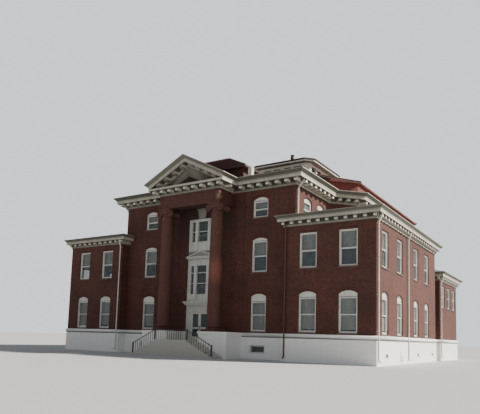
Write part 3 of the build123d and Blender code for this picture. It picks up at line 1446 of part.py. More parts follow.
bay_panes = []
for low, high in ((LOW_LIGHT_SILL, TRANSOM_HEAD), (HIGH_LIGHT_SILL, HIGH_LIGHT_HEAD)):
    bay_panes.append(
        block(LIGHT_EDGES[0][0] - BAR, LIGHT_EDGES[2][1] + BAR, BAY_FACE + BAY_PANEL,
              BAY_FACE + BAY_PANEL + PANE, low - BAR, high + BAR)
    )

LEAF_BOTTOM = FIRST_FLOOR + LEAF_GAP
LEAF_TOP = DOOR_HEAD - LEAF_GAP
LEAF_INNER = LEAF_GAP / 2
LEAF_PANES = (
    (LEAF_BOTTOM + LEAF_FOOT, FIRST_FLOOR + LOCK_RAIL),
    (FIRST_FLOOR + LOCK_RAIL + LOCK_RAIL_HEIGHT, LEAF_TOP - LEAF_STILE),
)
GLASS_LEFT = LEAF_INNER + LEAF_STILE
GLASS_RIGHT = LEAF_INNER + LEAF_WIDTH - LEAF_STILE
GLASS_FRONT = BAY_FACE + (LEAF_THICKNESS - DOOR_GLASS) / 2
with BuildPart() as leaf:
    add(block(LEAF_INNER, LEAF_INNER + LEAF_WIDTH, BAY_FACE, BAY_FACE + LEAF_THICKNESS,
              LEAF_BOTTOM, LEAF_TOP))
    for low, high in LEAF_PANES:
        add(block(GLASS_LEFT, GLASS_RIGHT, BAY_FACE, BAY_FACE + LEAF_THICKNESS, low, high),
            mode=Mode.SUBTRACT)
leaf_glass = joined(
    [
        block(GLASS_LEFT, GLASS_RIGHT, GLASS_FRONT, GLASS_FRONT + DOOR_GLASS, low, high)
        for low, high in LEAF_PANES
    ]
)
PULL_X = LEAF_INNER + LEAF_STILE / 2
PULL_Y = BAY_FACE - PULL_STAND
PULL_LOW = FIRST_FLOOR + PULL_HEIGHT - PULL_LENGTH / 2
with BuildPart() as pull:
    with BuildSketch(Plane.XY.offset(PULL_LOW)):
        with Locations((PULL_X, PULL_Y)):
            Rectangle(PULL_BAR, PULL_BAR)
    extrude(amount=PULL_LENGTH)
    with BuildSketch(Plane.XZ.offset(-BAY_FACE)):
        with Locations((PULL_X, PULL_LOW + PULL_BAR), (PULL_X, PULL_LOW + PULL_LENGTH - PULL_BAR)):
            Rectangle(PULL_BAR / 2, PULL_BAR / 2)
    extrude(amount=PULL_STAND)
for piece, name in ((leaf.part, "door"), (leaf_glass, "door_glass"), (pull.part, "door_pulls")):
    save(piece, name + "_right")
    save(mirror(piece, about=Plane.YZ), name + "_left")

# Window frames, panes and sills

frames = []
panes = []
for place, storey in RIGHT_WINDOWS + CELLAR_WINDOWS:
    frames += both(window_frame(place, storey))
    panes += both(window_pane(place, storey))
sills = [sill for place, storey in RIGHT_WINDOWS for sill in both(window_sill(place, storey))]
for place, storey in HALL_REAR_WINDOWS:
    frames.append(window_frame(place, storey))
    panes.append(window_pane(place, storey))
    sills.append(window_sill(place, storey))
save(joined(frames), "window_frames")
save(joined(panes + bay_panes + lantern_panes), "window_glass")
save(joined(sills), "window_sills")

# Entrance landing, flights and rails

LANDING_BACK = MAIN_FRONT - PLINTH_PROUD
FLIGHT_BACK = PEDESTAL_FRONT - FLIGHT_GAP
FLIGHT_FRONT = FLIGHT_BACK - FLIGHT_WIDTH
with BuildPart() as landing:
    add(block(-PEDESTAL_INNER, PEDESTAL_INNER, FLIGHT_FRONT, LANDING_BACK, 0, FIRST_FLOOR))
save(landing.part, "landing")

with BuildPart() as flight:
    for index in range(1, RISERS):
        start = PEDESTAL_INNER + (index - 1) * TREAD
        add(block(start, start + TREAD, FLIGHT_FRONT, FLIGHT_BACK, 0,
                  FIRST_FLOOR - index * STEP_RISE))
save(joined(both(flight.part)), "flights")


def tread_height(x):
    """Height of the step under a place along a flight."""
    return FIRST_FLOOR - (int((x - PEDESTAL_INNER) // TREAD) + 1) * STEP_RISE


rail_front = FLIGHT_FRONT + RAIL_SIDE
rail_back = rail_front + RAIL_SIDE
rail_top = FIRST_FLOOR + RAIL_HEIGHT
end_x = PEDESTAL_INNER + (RISERS - 1) * TREAD - NEWEL
fall = STEP_RISE / TREAD


def baluster(x, foot, head):
    """Thin upright bar under a hand rail."""
    inset = (RAIL_SIDE - BALUSTER) / 2
    return block(x - BALUSTER / 2, x + BALUSTER / 2, rail_front + inset, rail_back - inset, foot, head)


with BuildPart() as rails:
    add(
        upright(
            [
                (PEDESTAL_INNER, rail_top - RAIL_SIDE),
                (end_x, rail_top - RAIL_SIDE - (end_x - PEDESTAL_INNER) * fall),
                (end_x, rail_top - (end_x - PEDESTAL_INNER) * fall),
                (PEDESTAL_INNER, rail_top),
            ],
            rail_front,
            rail_back,
        )
    )
    add(block(0, PEDESTAL_INNER, rail_front, rail_back, rail_top - RAIL_SIDE, rail_top))
    for post, foot in ((PEDESTAL_INNER, FIRST_FLOOR), (end_x + NEWEL, tread_height(end_x))):
        add(block(post - NEWEL, post, rail_front, rail_front + NEWEL, foot,
                  foot + RAIL_HEIGHT + NEWEL_RISE))
    for index in range(1, int((end_x - PEDESTAL_INNER) // BALUSTER_PITCH) + 1):
        x = PEDESTAL_INNER + index * BALUSTER_PITCH
        head = rail_top - RAIL_SIDE / 2 - (x - PEDESTAL_INNER) * fall
        add(baluster(x, tread_height(x - BALUSTER / 2), head))
    for index in range(int((PEDESTAL_INNER - NEWEL) // BALUSTER_PITCH) + 1):
        add(baluster((index + 0.5) * BALUSTER_PITCH, FIRST_FLOOR, rail_top - RAIL_SIDE / 2))
save(joined(both(rails.part)), "stair_rails")

# Downspouts, each with its straps and a shoe at its foot

PIPE_STAND = FRIEZE_PROUD


def downspout(place, bottom, top, foot):
    """Square pipe that stands off its wall on straps and ends under a cornice."""
    first = max(bottom, PLINTH_TOP) + STRAP_WIDTH
    pitch = (top - STRAP_DROP - first) / (STRAPS - 1)
    with BuildPart() as pipe:
        with BuildSketch(place.offset(PIPE_STAND)):
            with Locations((0, (bottom + top) / 2)):
                Rectangle(PIPE_WIDTH, top - bottom)
        extrude(amount=PIPE_DEPTH)
        with BuildSketch(place):
            with Locations(*[(0, first + index * pitch) for index in range(STRAPS)]):
                Rectangle(STRAP_WIDTH, STRAP_HEIGHT)
        extrude(amount=PIPE_STAND)
        if foot:
            with BuildSketch(place.offset(PIPE_STAND + PIPE_DEPTH)):
                with Locations((0, bottom + PIPE_WIDTH / 2)):
                    Rectangle(PIPE_WIDTH, PIPE_WIDTH)
            extrude(amount=PIPE_SHOE)
    return pipe.part


pipes = [
    downspout(wall_plane(WING_OUTER, WING_FRONT + along, 90), PIPE_FOOT, WING_BED, True)
    for along in WING_PIPES
]
pipes.append(
    downspout(wall_plane(WING_INNER + CORNER_PIPE, WING_FRONT, 0), PIPE_FOOT, WING_BED, True)
)
pipes.append(
    downspout(wall_plane(WING_OUTER, REAR_WING_BACK - CORNER_PIPE, 90), PIPE_FOOT,
              WING_BED - REAR_DROP, True)
)
pipes.append(
    downspout(wall_plane(MAIN_HALF, MAIN_FRONT + CORNER_PIPE, 90), WING_GUTTER + PIPE_FOOT,
              MAIN_BED, False)
)
save(joined([piece for pipe in pipes for piece in both(pipe)]), "downspouts")
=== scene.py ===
"""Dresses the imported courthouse: finishes for every solid, and the pieces too fine for the CAD.

Lengths are in metres. X runs to the right seen from the front, Y to the back, Z up.
"""

from __future__ import annotations

import json
import logging
from collections.abc import Callable
from dataclasses import dataclass, field, replace
from enum import Enum
from math import cos, pi, radians, sin

import bpy
import numpy as np
from mathutils import Matrix, Vector

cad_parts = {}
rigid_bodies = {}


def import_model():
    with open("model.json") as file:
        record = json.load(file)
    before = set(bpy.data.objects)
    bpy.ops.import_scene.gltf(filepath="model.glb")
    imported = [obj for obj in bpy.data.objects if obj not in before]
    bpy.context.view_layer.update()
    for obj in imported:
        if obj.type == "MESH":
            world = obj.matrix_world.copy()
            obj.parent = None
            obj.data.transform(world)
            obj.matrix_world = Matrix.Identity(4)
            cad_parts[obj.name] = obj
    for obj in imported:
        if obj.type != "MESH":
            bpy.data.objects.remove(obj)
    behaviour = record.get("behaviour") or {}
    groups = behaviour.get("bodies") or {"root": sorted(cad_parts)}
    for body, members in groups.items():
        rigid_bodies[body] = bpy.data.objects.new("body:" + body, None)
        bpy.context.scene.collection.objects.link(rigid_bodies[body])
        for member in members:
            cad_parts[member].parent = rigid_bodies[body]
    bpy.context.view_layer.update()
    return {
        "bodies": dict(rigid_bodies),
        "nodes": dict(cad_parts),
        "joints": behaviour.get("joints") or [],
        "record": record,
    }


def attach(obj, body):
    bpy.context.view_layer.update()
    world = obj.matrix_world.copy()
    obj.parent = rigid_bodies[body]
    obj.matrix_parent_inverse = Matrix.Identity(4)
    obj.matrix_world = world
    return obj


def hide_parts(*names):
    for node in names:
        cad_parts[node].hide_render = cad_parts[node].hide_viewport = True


LOG = logging.getLogger("courthouse")
Array = np.ndarray
Tint = tuple[int, int, int]
Socket = bpy.types.NodeSocket
Feed = bpy.types.NodeSocket | float

# Brickwork: height of a course and length of a brick, both with their joint
COURSE = 0.0745
BRICK_LENGTH = 0.215

SQUARE = np.array([[-1, -1], [1, -1], [1, 1], [-1, 1]])
BOX_CORNERS = np.hstack([np.tile(SQUARE, (2, 1)), np.repeat([[-1], [1]], 4, axis=0)]) / 2
BOX_FACES = np.array([[0, 3, 2, 1], [4, 5, 6, 7], [0, 1, 5, 4], [1, 2, 6, 5], [2, 3, 7, 6],
                      [3, 0, 4, 7]])


# Surfaces worked out with arrays


def grid_faces(rows: int, columns: int, close_rows: bool = False,
               close_columns: bool = False) -> Array:
    """Four-cornered faces between neighbours on a grid of points.

    Face (r, c) joins the points (r, c), (r, c + 1), (r + 1, c + 1) and (r + 1, c).

    Args:
        rows: Points in the first direction.
        columns: Points in the second direction.
        close_rows: Whether the first direction closes on itself.
        close_columns: Whether the second direction closes on itself.

    Returns:
        Point numbers of each face.
    """
    row, column = np.meshgrid(np.arange(rows if close_rows else rows - 1),
                              np.arange(columns if close_columns else columns - 1),
                              indexing="ij")
    below, beside = (row + 1) % rows, (column + 1) % columns
    corners = [row * columns + column, row * columns + beside, below * columns + beside,
               below * columns + column]
    return np.stack(corners, axis=-1).reshape(-1, 4)


def mitres(path: Array, closed: bool) -> Array:
    """Sideways step at each corner of a flat path that keeps both its sides at one distance.

    The step is (n1 + n2) / (1 + n1 . n2), where n1 and n2 are the left-hand normals of the
    sides before and after the corner.

    Args:
        path: Corners, (k, 2).
        closed: Whether the last corner joins the first.

    Returns:
        Steps for a distance of one, (k, 2).
    """
    sides = np.roll(path, -1, axis=0) - path
    normals = np.stack([-sides[:, 1], sides[:, 0]], axis=1)
    normals /= np.linalg.norm(normals, axis=1, keepdims=True)
    before = np.roll(normals, 1, axis=0)
    if not closed:
        before[0] = normals[0]
        normals[-1] = before[-1]
    return (before + normals) / (1 + np.sum(before * normals, axis=1, keepdims=True))


def swept(path: Array, profile: Array, closed: bool = False) -> Array:
    """Profile carried along a path on a wall.

    Args:
        path: Corners along the wall and up, (k, 2).
        profile: Steps to the left of the path and out from the wall, (m, 2).
        closed: Whether the path closes on itself.

    Returns:
        Stations of the profile as along, out and up, (k, m, 3).
    """
    flat = path[:, None] + profile[None, :, :1] * mitres(path, closed)[:, None]
    out = np.broadcast_to(profile[None, :, 1], flat.shape[:2])
    return np.stack([flat[..., 0], out, flat[..., 1]], axis=-1)


def half_round(radius: float, bottom: float, height: float, steps: int) -> Array:
    """Profile of a half round moulding: radius - h/2 (1 - cos a), bottom + h/2 (1 + sin a).

    Args:
        radius: Its greatest radius.
        bottom: Where it starts.
        height: Its height h.
        steps: Points on it.

    Returns:
        Radius and height of each point, (steps, 2).
    """
    turns = np.linspace(-pi / 2, pi / 2, steps)
    return np.stack([radius - height / 2 * (1 - np.cos(turns)),
                     bottom + height / 2 * (1 + np.sin(turns))], axis=1)


def corner_places(mesh: bpy.types.Mesh) -> Array:
    """Places of a mesh's corners, (n, 3)."""
    places = np.empty(len(mesh.vertices) * 3)
    mesh.vertices.foreach_get("co", places)
    return places.reshape(-1, 3)


@dataclass
class Shell:
    """Points and faces of a piece in the making."""

    points: list[Array] = field(default_factory=list)
    faces: list[Array] = field(default_factory=list)
    count: int = 0

    def add(self, points: Array, *faces: Array) -> None:
        """Adds a shape.

        Args:
            points: Places, any shape ending in three numbers.
            faces: Sets of faces that look out and number those points from zero.
        """
        flat = points.reshape(-1, 3)
        self.points.append(flat)
        self.faces.extend(group + self.count for group in faces)
        self.count += len(flat)

    def boxes(self, middles: Array, axes: Array, sizes: Array) -> None:
        """Adds one box for each place.

        A corner lies at middle + sum over the axes of (+-1/2) * size * axis.

        Args:
            middles: Middle of each box, (n, 3).
            axes: Three unit axes of each box, (n, 3, 3) or (3, 3) for all.
            sizes: Length along each axis, (n, 3) or (3,) for all.
        """
        middles = np.reshape(middles, (-1, 3))
        axes = np.broadcast_to(axes, (len(middles), 3, 3))
        sizes = np.broadcast_to(sizes, (len(middles), 3))
        points = middles[:, None] + np.einsum("kc,nc,ncd->nkd", BOX_CORNERS, sizes, axes)
        faces = (BOX_FACES + 8 * np.arange(len(middles))[:, None, None]).reshape(-1, 4)
        self.add(points, faces if np.linalg.det(axes[0]) > 0 else faces[:, ::-1])

    def carried(self, stations: Array, closed: bool = False) -> None:
        """Adds a profile carried along a path, with its faces turned outwards.

        They look out if the volume, the sum over the faces of corner . (corner x corner) / 6,
        is above zero.

        Args:
            stations: The profile's points at each place of the path, (places, points, 3).
            closed: Whether the path closes on itself; if not, both ends are capped.
        """
        places, corners = stations.shape[:2]
        faces = [grid_faces(places, corners, closed, True)]
        if not closed:
            cap = np.arange(corners)[None]
            faces += [cap[:, ::-1], cap + (places - 1) * corners]
        flat = stations.reshape(-1, 3)
        flat = flat - flat.mean(axis=0)
        volume = sum(np.sum(flat[group[:, 0]] * np.cross(flat[group[:, k]], flat[group[:, k + 1]]))
                     for group in faces for k in range(1, group.shape[1] - 1))
        self.add(stations, *[group[:, ::-1] if volume < 0 else group for group in faces])

    def turned(self, radius: Array, along: Array, centre: tuple, segments: int,
               level: bool = False) -> None:
        """Adds a surface of revolution.

        A point at turn a lies at r cos a and r sin a from the axis.

        Args:
            radius: Radius at each place of the axis, or at each place and turn.
            along: Places along the axis.
            centre: Where the axis starts.
            segments: Steps round the axis.
            level: Whether the axis runs from front to back, not up.
        """
        turns = 2 * pi * np.arange(segments) / segments
        radius = np.broadcast_to(radius.reshape(len(along), -1), (len(along), segments))
        across, other = radius * np.cos(turns), radius * np.sin(turns)
        line = np.broadcast_to(along[:, None], radius.shape)
        order = [across, line, other] if level else [across, other, line]
        self.carried(np.stack(order, axis=-1) + centre)

    def squares(self, halves: Array, levels: Array, x: float, y: float) -> None:
        """Adds a square shaft.

        Args:
            halves: Half of its side at each level.
            levels: Heights.
            x: Place of its axis.
            y: Place of its axis.
        """
        flat = SQUARE * halves[:, None, None] + [x, y]
        up = np.broadcast_to(levels[:, None, None], (len(levels), 4, 1))
        self.carried(np.concatenate([flat, up], axis=-1))

    def piece(self, name: str, finish: Finish, slot: str, nodes: tuple = (),
              body: str = "building", smooth: float = 0.0) -> None:
        """Makes the Blender object, puts it on its body and hides the CAD nodes that it replaces.

        Args:
            name: Name of the object.
            finish: Its finish.
            slot: The record's slot that the finish belongs to; not used.
            nodes: CAD nodes that it replaces.
            body: CAD body that it rides on.
            smooth: Angle in degrees below which edges are smooth; none if zero.
        """
        points = np.concatenate(self.points)
        corners = np.concatenate([group.ravel() for group in self.faces])
        sizes = np.concatenate([np.full(len(group), group.shape[1]) for group in self.faces])
        mesh = bpy.data.meshes.new(name)
        mesh.vertices.add(len(points))
        mesh.vertices.foreach_set("co", points.astype(np.float32).ravel())
        mesh.loops.add(len(corners))
        mesh.loops.foreach_set("vertex_index", corners.astype(np.int32))
        mesh.polygons.add(len(sizes))
        mesh.polygons.foreach_set("loop_start", (np.cumsum(sizes) - sizes).astype(np.int32))
        mesh.update(calc_edges=True)
        mesh.validate()
        if smooth:
            mesh.polygons.foreach_set("use_smooth", np.ones(len(mesh.polygons), bool))
            mesh.set_sharp_from_angle(angle=radians(smooth))
        mesh.materials.append(finish.make())
        made = bpy.data.objects.new(name, mesh)
        bpy.context.scene.collection.objects.link(made)
        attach(made, body)
        if nodes:
            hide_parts(*nodes)
        mesh.calc_loop_triangles()
        LOG.info("%s: %d triangles", name, len(mesh.loop_triangles))


# Shader nodes


def shade(colour: Tint) -> tuple[float, ...]:
    """Turns a colour on a screen's scale of 0 to 255 into linear light with a full alpha."""
    screen = np.array(colour) / 255
    light = np.where(screen <= 0.04045, screen / 12.92, ((screen + 0.055) / 1.055) ** 2.4)
    return (*light.tolist(), 1.0)


class Bench:
    """A node tree, and short ways to lay nodes in it; all but put return a socket."""

    def __init__(self, tree: bpy.types.NodeTree) -> None:
        """Keeps the tree that the nodes go into."""
        self.tree = tree

    def put(self, kind: str, inputs: dict | None = None, **settings) -> bpy.types.Node:
        """Lays a node.

        Args:
            kind: Blender's name of the node's type, without its first two words.
            inputs: A value, a screen colour or a socket for each input, by name or number.
            settings: Properties of the node.

        Returns:
            The new node.
        """
        node = self.tree.nodes.new("ShaderNode" + kind)
        for key, value in settings.items():
            setattr(node, key, value)
        for key, value in (inputs or {}).items():
            socket = node.inputs[key]
            if isinstance(value, bpy.types.NodeSocket):
                self.tree.links.new(value, socket)
            else:
                socket.default_value = shade(value) if socket.type == "RGBA" else value
        return node

    def math(self, operation: str, first: Feed, second: Feed = 0.0,
             clamp: bool = False) -> Socket:
        """Joins two numbers by an arithmetic operation."""
        return self.put("Math", {0: first, 1: second}, operation=operation,
                        use_clamp=clamp).outputs[0]

    def times(self, first: Feed, *others: Feed) -> Socket:
        """Multiplies numbers."""
        for other in others:
            first = self.math("MULTIPLY", first, other)
        return first

    def blend(self, share: Feed, first: Socket | Tint, second: Socket | Tint,
              kind: str = "MIX") -> Socket:
        """Mixes two colours."""
        return self.put("Mix", {0: share, 6: first, 7: second}, data_type="RGBA",
                        blend_type=kind).outputs[2]

    def span(self, value: Feed, low: float, high: float, start: float = 0.0,
             end: float = 1.0) -> Socket:
        """Stretches a value from one range to another."""
        return self.put("MapRange", {0: value, 1: low, 2: high, 3: start, 4: end}).outputs[0]

    def noise(self, place: Socket, scale: Feed, detail: float = 4.0,
              rough: float = 0.55) -> Socket:
        """Lays a noise pattern."""
        return self.put("TexNoise", {"Vector": place, "Scale": scale, "Detail": detail,
                                     "Roughness": rough}).outputs["Fac"]

    def place(self) -> Socket:
        """Object coordinates."""
        return self.put("TexCoord").outputs["Object"]

    def stretched(self, scale: tuple) -> Socket:
        """Object coordinates, scaled."""
        return self.put("Mapping", {"Vector": self.place(), "Scale": scale}).outputs[0]

    def parts(self, source: str = "Object") -> bpy.types.NodeOutputs:
        """The three numbers of the Object coordinates or of the Normal."""
        whole = self.put("TexCoord").outputs[source]
        return self.put("SeparateXYZ", {0: whole}).outputs

    def air(self, size: float, flaking: float = 0.0) -> bpy.types.NodeOutputs:
        """The outputs of the weather group: Blotch, Streak, Flake and Grain."""
        tree = group("weather", {"Size": 1.0, "Flaking": 0.0},
                     ("Blotch", "Streak", "Flake", "Grain"), lay_weather)
        return self.put("Group", {"Size": size, "Flaking": flaking}, node_tree=tree).outputs


def group(name: str, inputs: dict, outputs: tuple, lay: Callable) -> bpy.types.NodeTree:
    """Builds a node group that finishes share, or finds the one built before.

    Args:
        name: Name of the group.
        inputs: First value of each input; four numbers make a colour.
        outputs: Names of the outputs, of which only Colour is a colour.
        lay: Lays the nodes on a bench, given the inputs' sockets, and returns the outputs' ones.

    Returns:
        The group's tree.
    """
    found = bpy.data.node_groups.get(name)
    if found:
        return found
    tree = bpy.data.node_groups.new(name, "ShaderNodeTree")
    for label, value in inputs.items():
        kind = "NodeSocketFloat" if isinstance(value, float) else "NodeSocketColor"
        tree.interface.new_socket(label, in_out="INPUT", socket_type=kind).default_value = value
    for label in outputs:
        kind = "NodeSocketColor" if label == "Colour" else "NodeSocketFloat"
        tree.interface.new_socket(label, in_out="OUTPUT", socket_type=kind)
    given, result = tree.nodes.new("NodeGroupInput"), tree.nodes.new("NodeGroupOutput")
    for label, socket in zip(outputs, lay(Bench(tree), given.outputs)):
        tree.links.new(socket, result.inputs[label])
    return tree


def lay_brickwork(bench: Bench, given: bpy.types.NodeOutputs) -> tuple:
    """Lays brick courses on a wall of any direction, with a header course every sixth row."""
    x, y, z = bench.parts()
    right, back, up = bench.parts("Normal")
    along = bench.math("SUBTRACT", bench.times(y, right), bench.times(x, back))
    level = bench.math("GREATER_THAN", bench.math("ABSOLUTE", up), 0.7)
    across = bench.put("Mix", {0: level, 2: along, 3: x}).outputs[0]
    upward = bench.put("Mix", {0: level, 2: z, 3: y}).outputs[0]
    flat = bench.put("CombineXYZ", {0: across, 1: upward}).outputs[0]
    bricks = bench.put(
        "TexBrick",
        {"Vector": flat, "Color1": given["Brick"], "Color2": given["Dark brick"],
         "Mortar": given["Mortar"], "Scale": 1.0, "Mortar Size": given["Joint"],
         "Mortar Smooth": 0.25, "Bias": 0.0, "Brick Width": BRICK_LENGTH,
         "Row Height": COURSE},
        offset=0.5, offset_frequency=2, squash=0.5, squash_frequency=6).outputs
    burnt = bench.span(bench.noise(bench.place(), 9.0, 2.0), 0.35, 0.7, 0.72, 1.18)
    tone = bench.put("CombineColor", {0: burnt, 1: burnt, 2: burnt}).outputs[0]
    grain = bench.noise(bench.place(), 160.0, 3.0)
    return (bench.blend(1.0, bricks["Color"], tone, "MULTIPLY"), bricks["Fac"],
            bench.math("SUBTRACT", bench.times(grain, 0.25), bricks["Fac"]))


def lay_weather(bench: Bench, given: bpy.types.NodeOutputs) -> tuple:
    """Lays blotches, upright rain streaks, flaking and a fine grain."""
    place = bench.place()
    streak = bench.noise(bench.stretched((5.0, 5.0, 0.22)), 1.0, 6.0, 0.6)
    edge = bench.math("SUBTRACT", 0.78, bench.times(given["Flaking"], 0.3))
    flake = bench.math("SUBTRACT", bench.noise(place, 2.3, 9.0, 0.62), edge)
    return (bench.noise(place, given["Size"], 5.0, 0.5), bench.span(streak, 0.42, 0.72),
            bench.math("MULTIPLY", flake, 16.0, clamp=True), bench.noise(place, 55.0, 5.0))


# Finishes


@dataclass(frozen=True)
class Finish:
    """A finish: its name, screen colour and roughness; further colours follow in its kinds."""

    name: str
    base: Tint
    roughness: float

    def make(self) -> bpy.types.Material:
        """Builds the material, or returns the one built before."""
        made = bpy.data.materials.get(self.name)
        if made:
            return made
        made = bpy.data.materials.new(self.name)
        made.use_nodes = True
        made.node_tree.nodes.clear()
        bench = Bench(made.node_tree)
        shader = bench.put("BsdfPrincipled")
        bench.put("OutputMaterial", {"Surface": shader.outputs[0]})
        colour, rough, relief, depth = self.lay(bench, shader)
        bump = bench.put("Bump", {"Height": relief, "Distance": depth, "Strength": 1.0})
        for label, socket in (("Base Color", colour), ("Roughness", rough),
                              ("Normal", bump.outputs[0])):
            made.node_tree.links.new(socket, shader.inputs[label])
        return made

    def lay(self, bench: Bench, shader: bpy.types.Node) -> tuple:
        """Lays the finish's nodes.

        Args:
            bench: Where the nodes go.
            shader: The material's shader.

        Returns:
            Sockets of colour, roughness and relief, and the relief's depth in metres.
        """
        raise NotImplementedError


@dataclass(frozen=True)
class Brick(Finish):
    """Brickwork in courses, sooty and rain washed, with painted shade under the porch."""

    burnt: Tint
    mortar: Tint
    soot_and_shade: Tint
    joint: float = 0.009
    # Where painted shade under the porch falls: full at |x| 2.4, none at 3.6, in front of y -12.
    porch: tuple = (2.4, 3.6, -12.0)
    porch_shade_rise: tuple = (8.5, 11.6)

    def lay(self, bench: Bench, shader: bpy.types.Node) -> tuple:
        """Lays courses, sooty blotches and streaks, then painted shade just below the porch's
        ceiling.
        """
        white, black = (1, 1, 1, 1), (0, 0, 0, 1)
        tree = group("brickwork", {"Brick": white, "Dark brick": black, "Mortar": white,
                                   "Joint": 0.01}, ("Colour", "Joint mask", "Relief"),
                     lay_brickwork)
        work = bench.put("Group", {"Brick": self.base, "Dark brick": self.burnt,
                                   "Mortar": self.mortar, "Joint": self.joint},
                         node_tree=tree).outputs
        air = bench.air(0.35)
        x, y, z = bench.parts()
        near, far, depth = self.porch
        # Painted shade: darker brick just below the porch's ceiling, between the columns.
        porch_shade = bench.times(bench.span(bench.math("ABSOLUTE", x), near, far, 1.0, 0.0),
                                bench.span(z, *self.porch_shade_rise, 0.0, 0.62),
                                bench.math("LESS_THAN", y, depth))
        colour = work["Colour"]
        for share in (bench.span(air["Blotch"], 0.42, 0.75, 0.0, 0.45),
                      bench.times(air["Streak"], 0.22), porch_shade):
            colour = bench.blend(share, colour, self.soot_and_shade)
        rough = bench.span(work["Joint mask"], 0.0, 1.0, self.roughness, 0.95)
        return colour, rough, work["Relief"], 0.006


@dataclass(frozen=True)
class Paint(Finish):
    """Old paint: faded, rain streaked, flaking to what lies under it, with painted shade
    underneath.
    """

    under: Tint
    grime: Tint
    flaking: float = 0.3
    dirt: float = 0.25
    patch: float = 1.0
    underside_shade: float = 0.0
    mould_and_shade: Tint = (80, 78, 70)

    def lay(self, bench: Bench, shader: bpy.types.Node) -> tuple:
        """Lays fading, grime in streaks, flaking, and painted shade where the face looks down."""
        air = bench.air(self.patch, self.flaking)
        fade = bench.span(air["Blotch"], 0.3, 0.75, 0.0, self.dirt)
        colour = bench.blend(fade, self.base, self.grime)
        colour = bench.blend(bench.times(air["Streak"], self.dirt), colour, self.grime)
        colour = bench.blend(air["Flake"], colour, self.under)
        # Painted shade: the dark tint on faces that look down, as under soffits, rails and
        # mouldings.
        if self.underside_shade:
            shade_below = bench.span(bench.parts("Normal")[2], -0.2, -0.8, 0.0, self.underside_shade)
            colour = bench.blend(shade_below, colour, self.mould_and_shade)
        rough = bench.span(air["Grain"], 0.3, 0.7, self.roughness - 0.08, self.roughness + 0.1)
        relief = bench.math("SUBTRACT", bench.times(air["Grain"], 0.5), air["Flake"])
        return self.stain_and_shade(bench, colour), rough, relief, 0.0015

    def stain_and_shade(self, bench: Bench, colour: Socket) -> Socket:
        """Lays further stains and painted shade; plain paint has none."""
        return colour


@dataclass(frozen=True)
class CornicePaint(Paint):
    """White paint of a cornice: grime, and painted shade in the modillion band and to the front.

    levels are the heights where a band begins, and shares how much dark tint each band carries.
    """

    levels: tuple = ()
    shares: tuple = ()

    def stain_and_shade(self, bench: Bench, colour: Socket) -> Socket:
        """Lays grime and painted shade by height, most on the faces turned to the front.

        The share is shares[0] + sum of (shares[i + 1] - shares[i]) where z is over levels[i],
        times 0.35 + 0.65 times the face's turn to the front.
        """
        height = bench.parts()[2]
        share = self.shares[0]
        for level, before, after in zip(self.levels, self.shares, self.shares[1:]):
            above = bench.math("GREATER_THAN", height, level)
            share = bench.math("ADD", share, bench.times(above, after - before))
        # Painted shade: faces turned to the front, which lie in shade, take more of the dark tint.
        front = bench.span(bench.parts("Normal")[1], -0.2, -0.8, 0.35, 1.0)
        return bench.blend(bench.math("MULTIPLY", share, front, clamp=True), colour, self.mould_and_shade)


@dataclass(frozen=True)
class WornPaint(Paint):
    """Paint worn through round one spot, with a ragged edge."""

    spot: tuple = (0.0, 0.0, 0.0)
    reach: float = 0.5
    bare: Tint = (128, 100, 90)
    ragged: float = 0.5

    def stain_and_shade(self, bench: Bench, colour: Socket) -> Socket:
        """Lays the bare colour, whose share falls from the spot's middle to none at the reach."""
        away = bench.put("VectorMath", {0: bench.place(), 1: self.spot}, operation="DISTANCE")
        near = bench.span(away.outputs["Value"], 0.0, self.reach, 1.0, 0.0)
        rough = bench.span(bench.noise(bench.place(), 6.0, 6.0), 0.3, 0.7, -self.ragged,
                           self.ragged)
        share = bench.math("ADD", near, bench.times(rough, near))
        return bench.blend(bench.math("MULTIPLY", share, 1.4, clamp=True), colour, self.bare)


@dataclass(frozen=True)
class BayPaint(Paint):
    """Paint of the door bay, with painted shade in the sunk field of its hood."""

    field_foot: float = 8.38
    field_top: float = 8.85
    field_face: float = -12.98

    def stain_and_shade(self, bench: Bench, colour: Socket) -> Socket:
        """Lays painted shade where the face lies behind the hood's band."""
        _, y, z = bench.parts()
        # Painted shade in the hood's sunk field.
        share = bench.times(bench.math("GREATER_THAN", z, self.field_foot),
                            bench.math("LESS_THAN", z, self.field_top),
                            bench.math("GREATER_THAN", y, self.field_face), 0.6)
        return bench.blend(share, colour, self.mould_and_shade)


@dataclass(frozen=True)
class AtticPaint(Paint):
    """Paint of the attic walls, with painted shade on the block behind the pediment."""

    # Darker colour of the block behind the pediment: a painted shade.
    front: Tint = (66, 38, 34)
    border: float = -8.0

    def stain_and_shade(self, bench: Bench, colour: Socket) -> Socket:
        """Lays the darker colour, a painted shade, on everything in front of the border."""
        before = bench.math("LESS_THAN", bench.parts()[1], self.border)
        return bench.blend(before, colour, self.front)


@dataclass(frozen=True)
class Tile(Finish):
    """Clay roof tiles that differ from one to the next, dark with age."""

    pale: Tint
    moss: Tint

    def lay(self, bench: Bench, shader: bpy.types.Node) -> tuple:
        """Lays a tint for each tile and a dark film."""
        cells = bench.put("TexVoronoi", {"Vector": bench.place(), "Scale": 3.2}, feature="F1")
        tint = bench.put("SeparateColor", {0: cells.outputs["Color"]}).outputs[0]
        colour = bench.blend(bench.span(tint, 0.0, 1.0, 0.0, 0.55), self.base, self.pale)
        air = bench.air(0.6)
        film = bench.span(air["Blotch"], 0.4, 0.75, 0.0, 0.6)
        rough = bench.span(air["Grain"], 0.3, 0.7, self.roughness - 0.1, self.roughness + 0.1)
        return bench.blend(film, colour, self.moss), rough, air["Grain"], 0.004


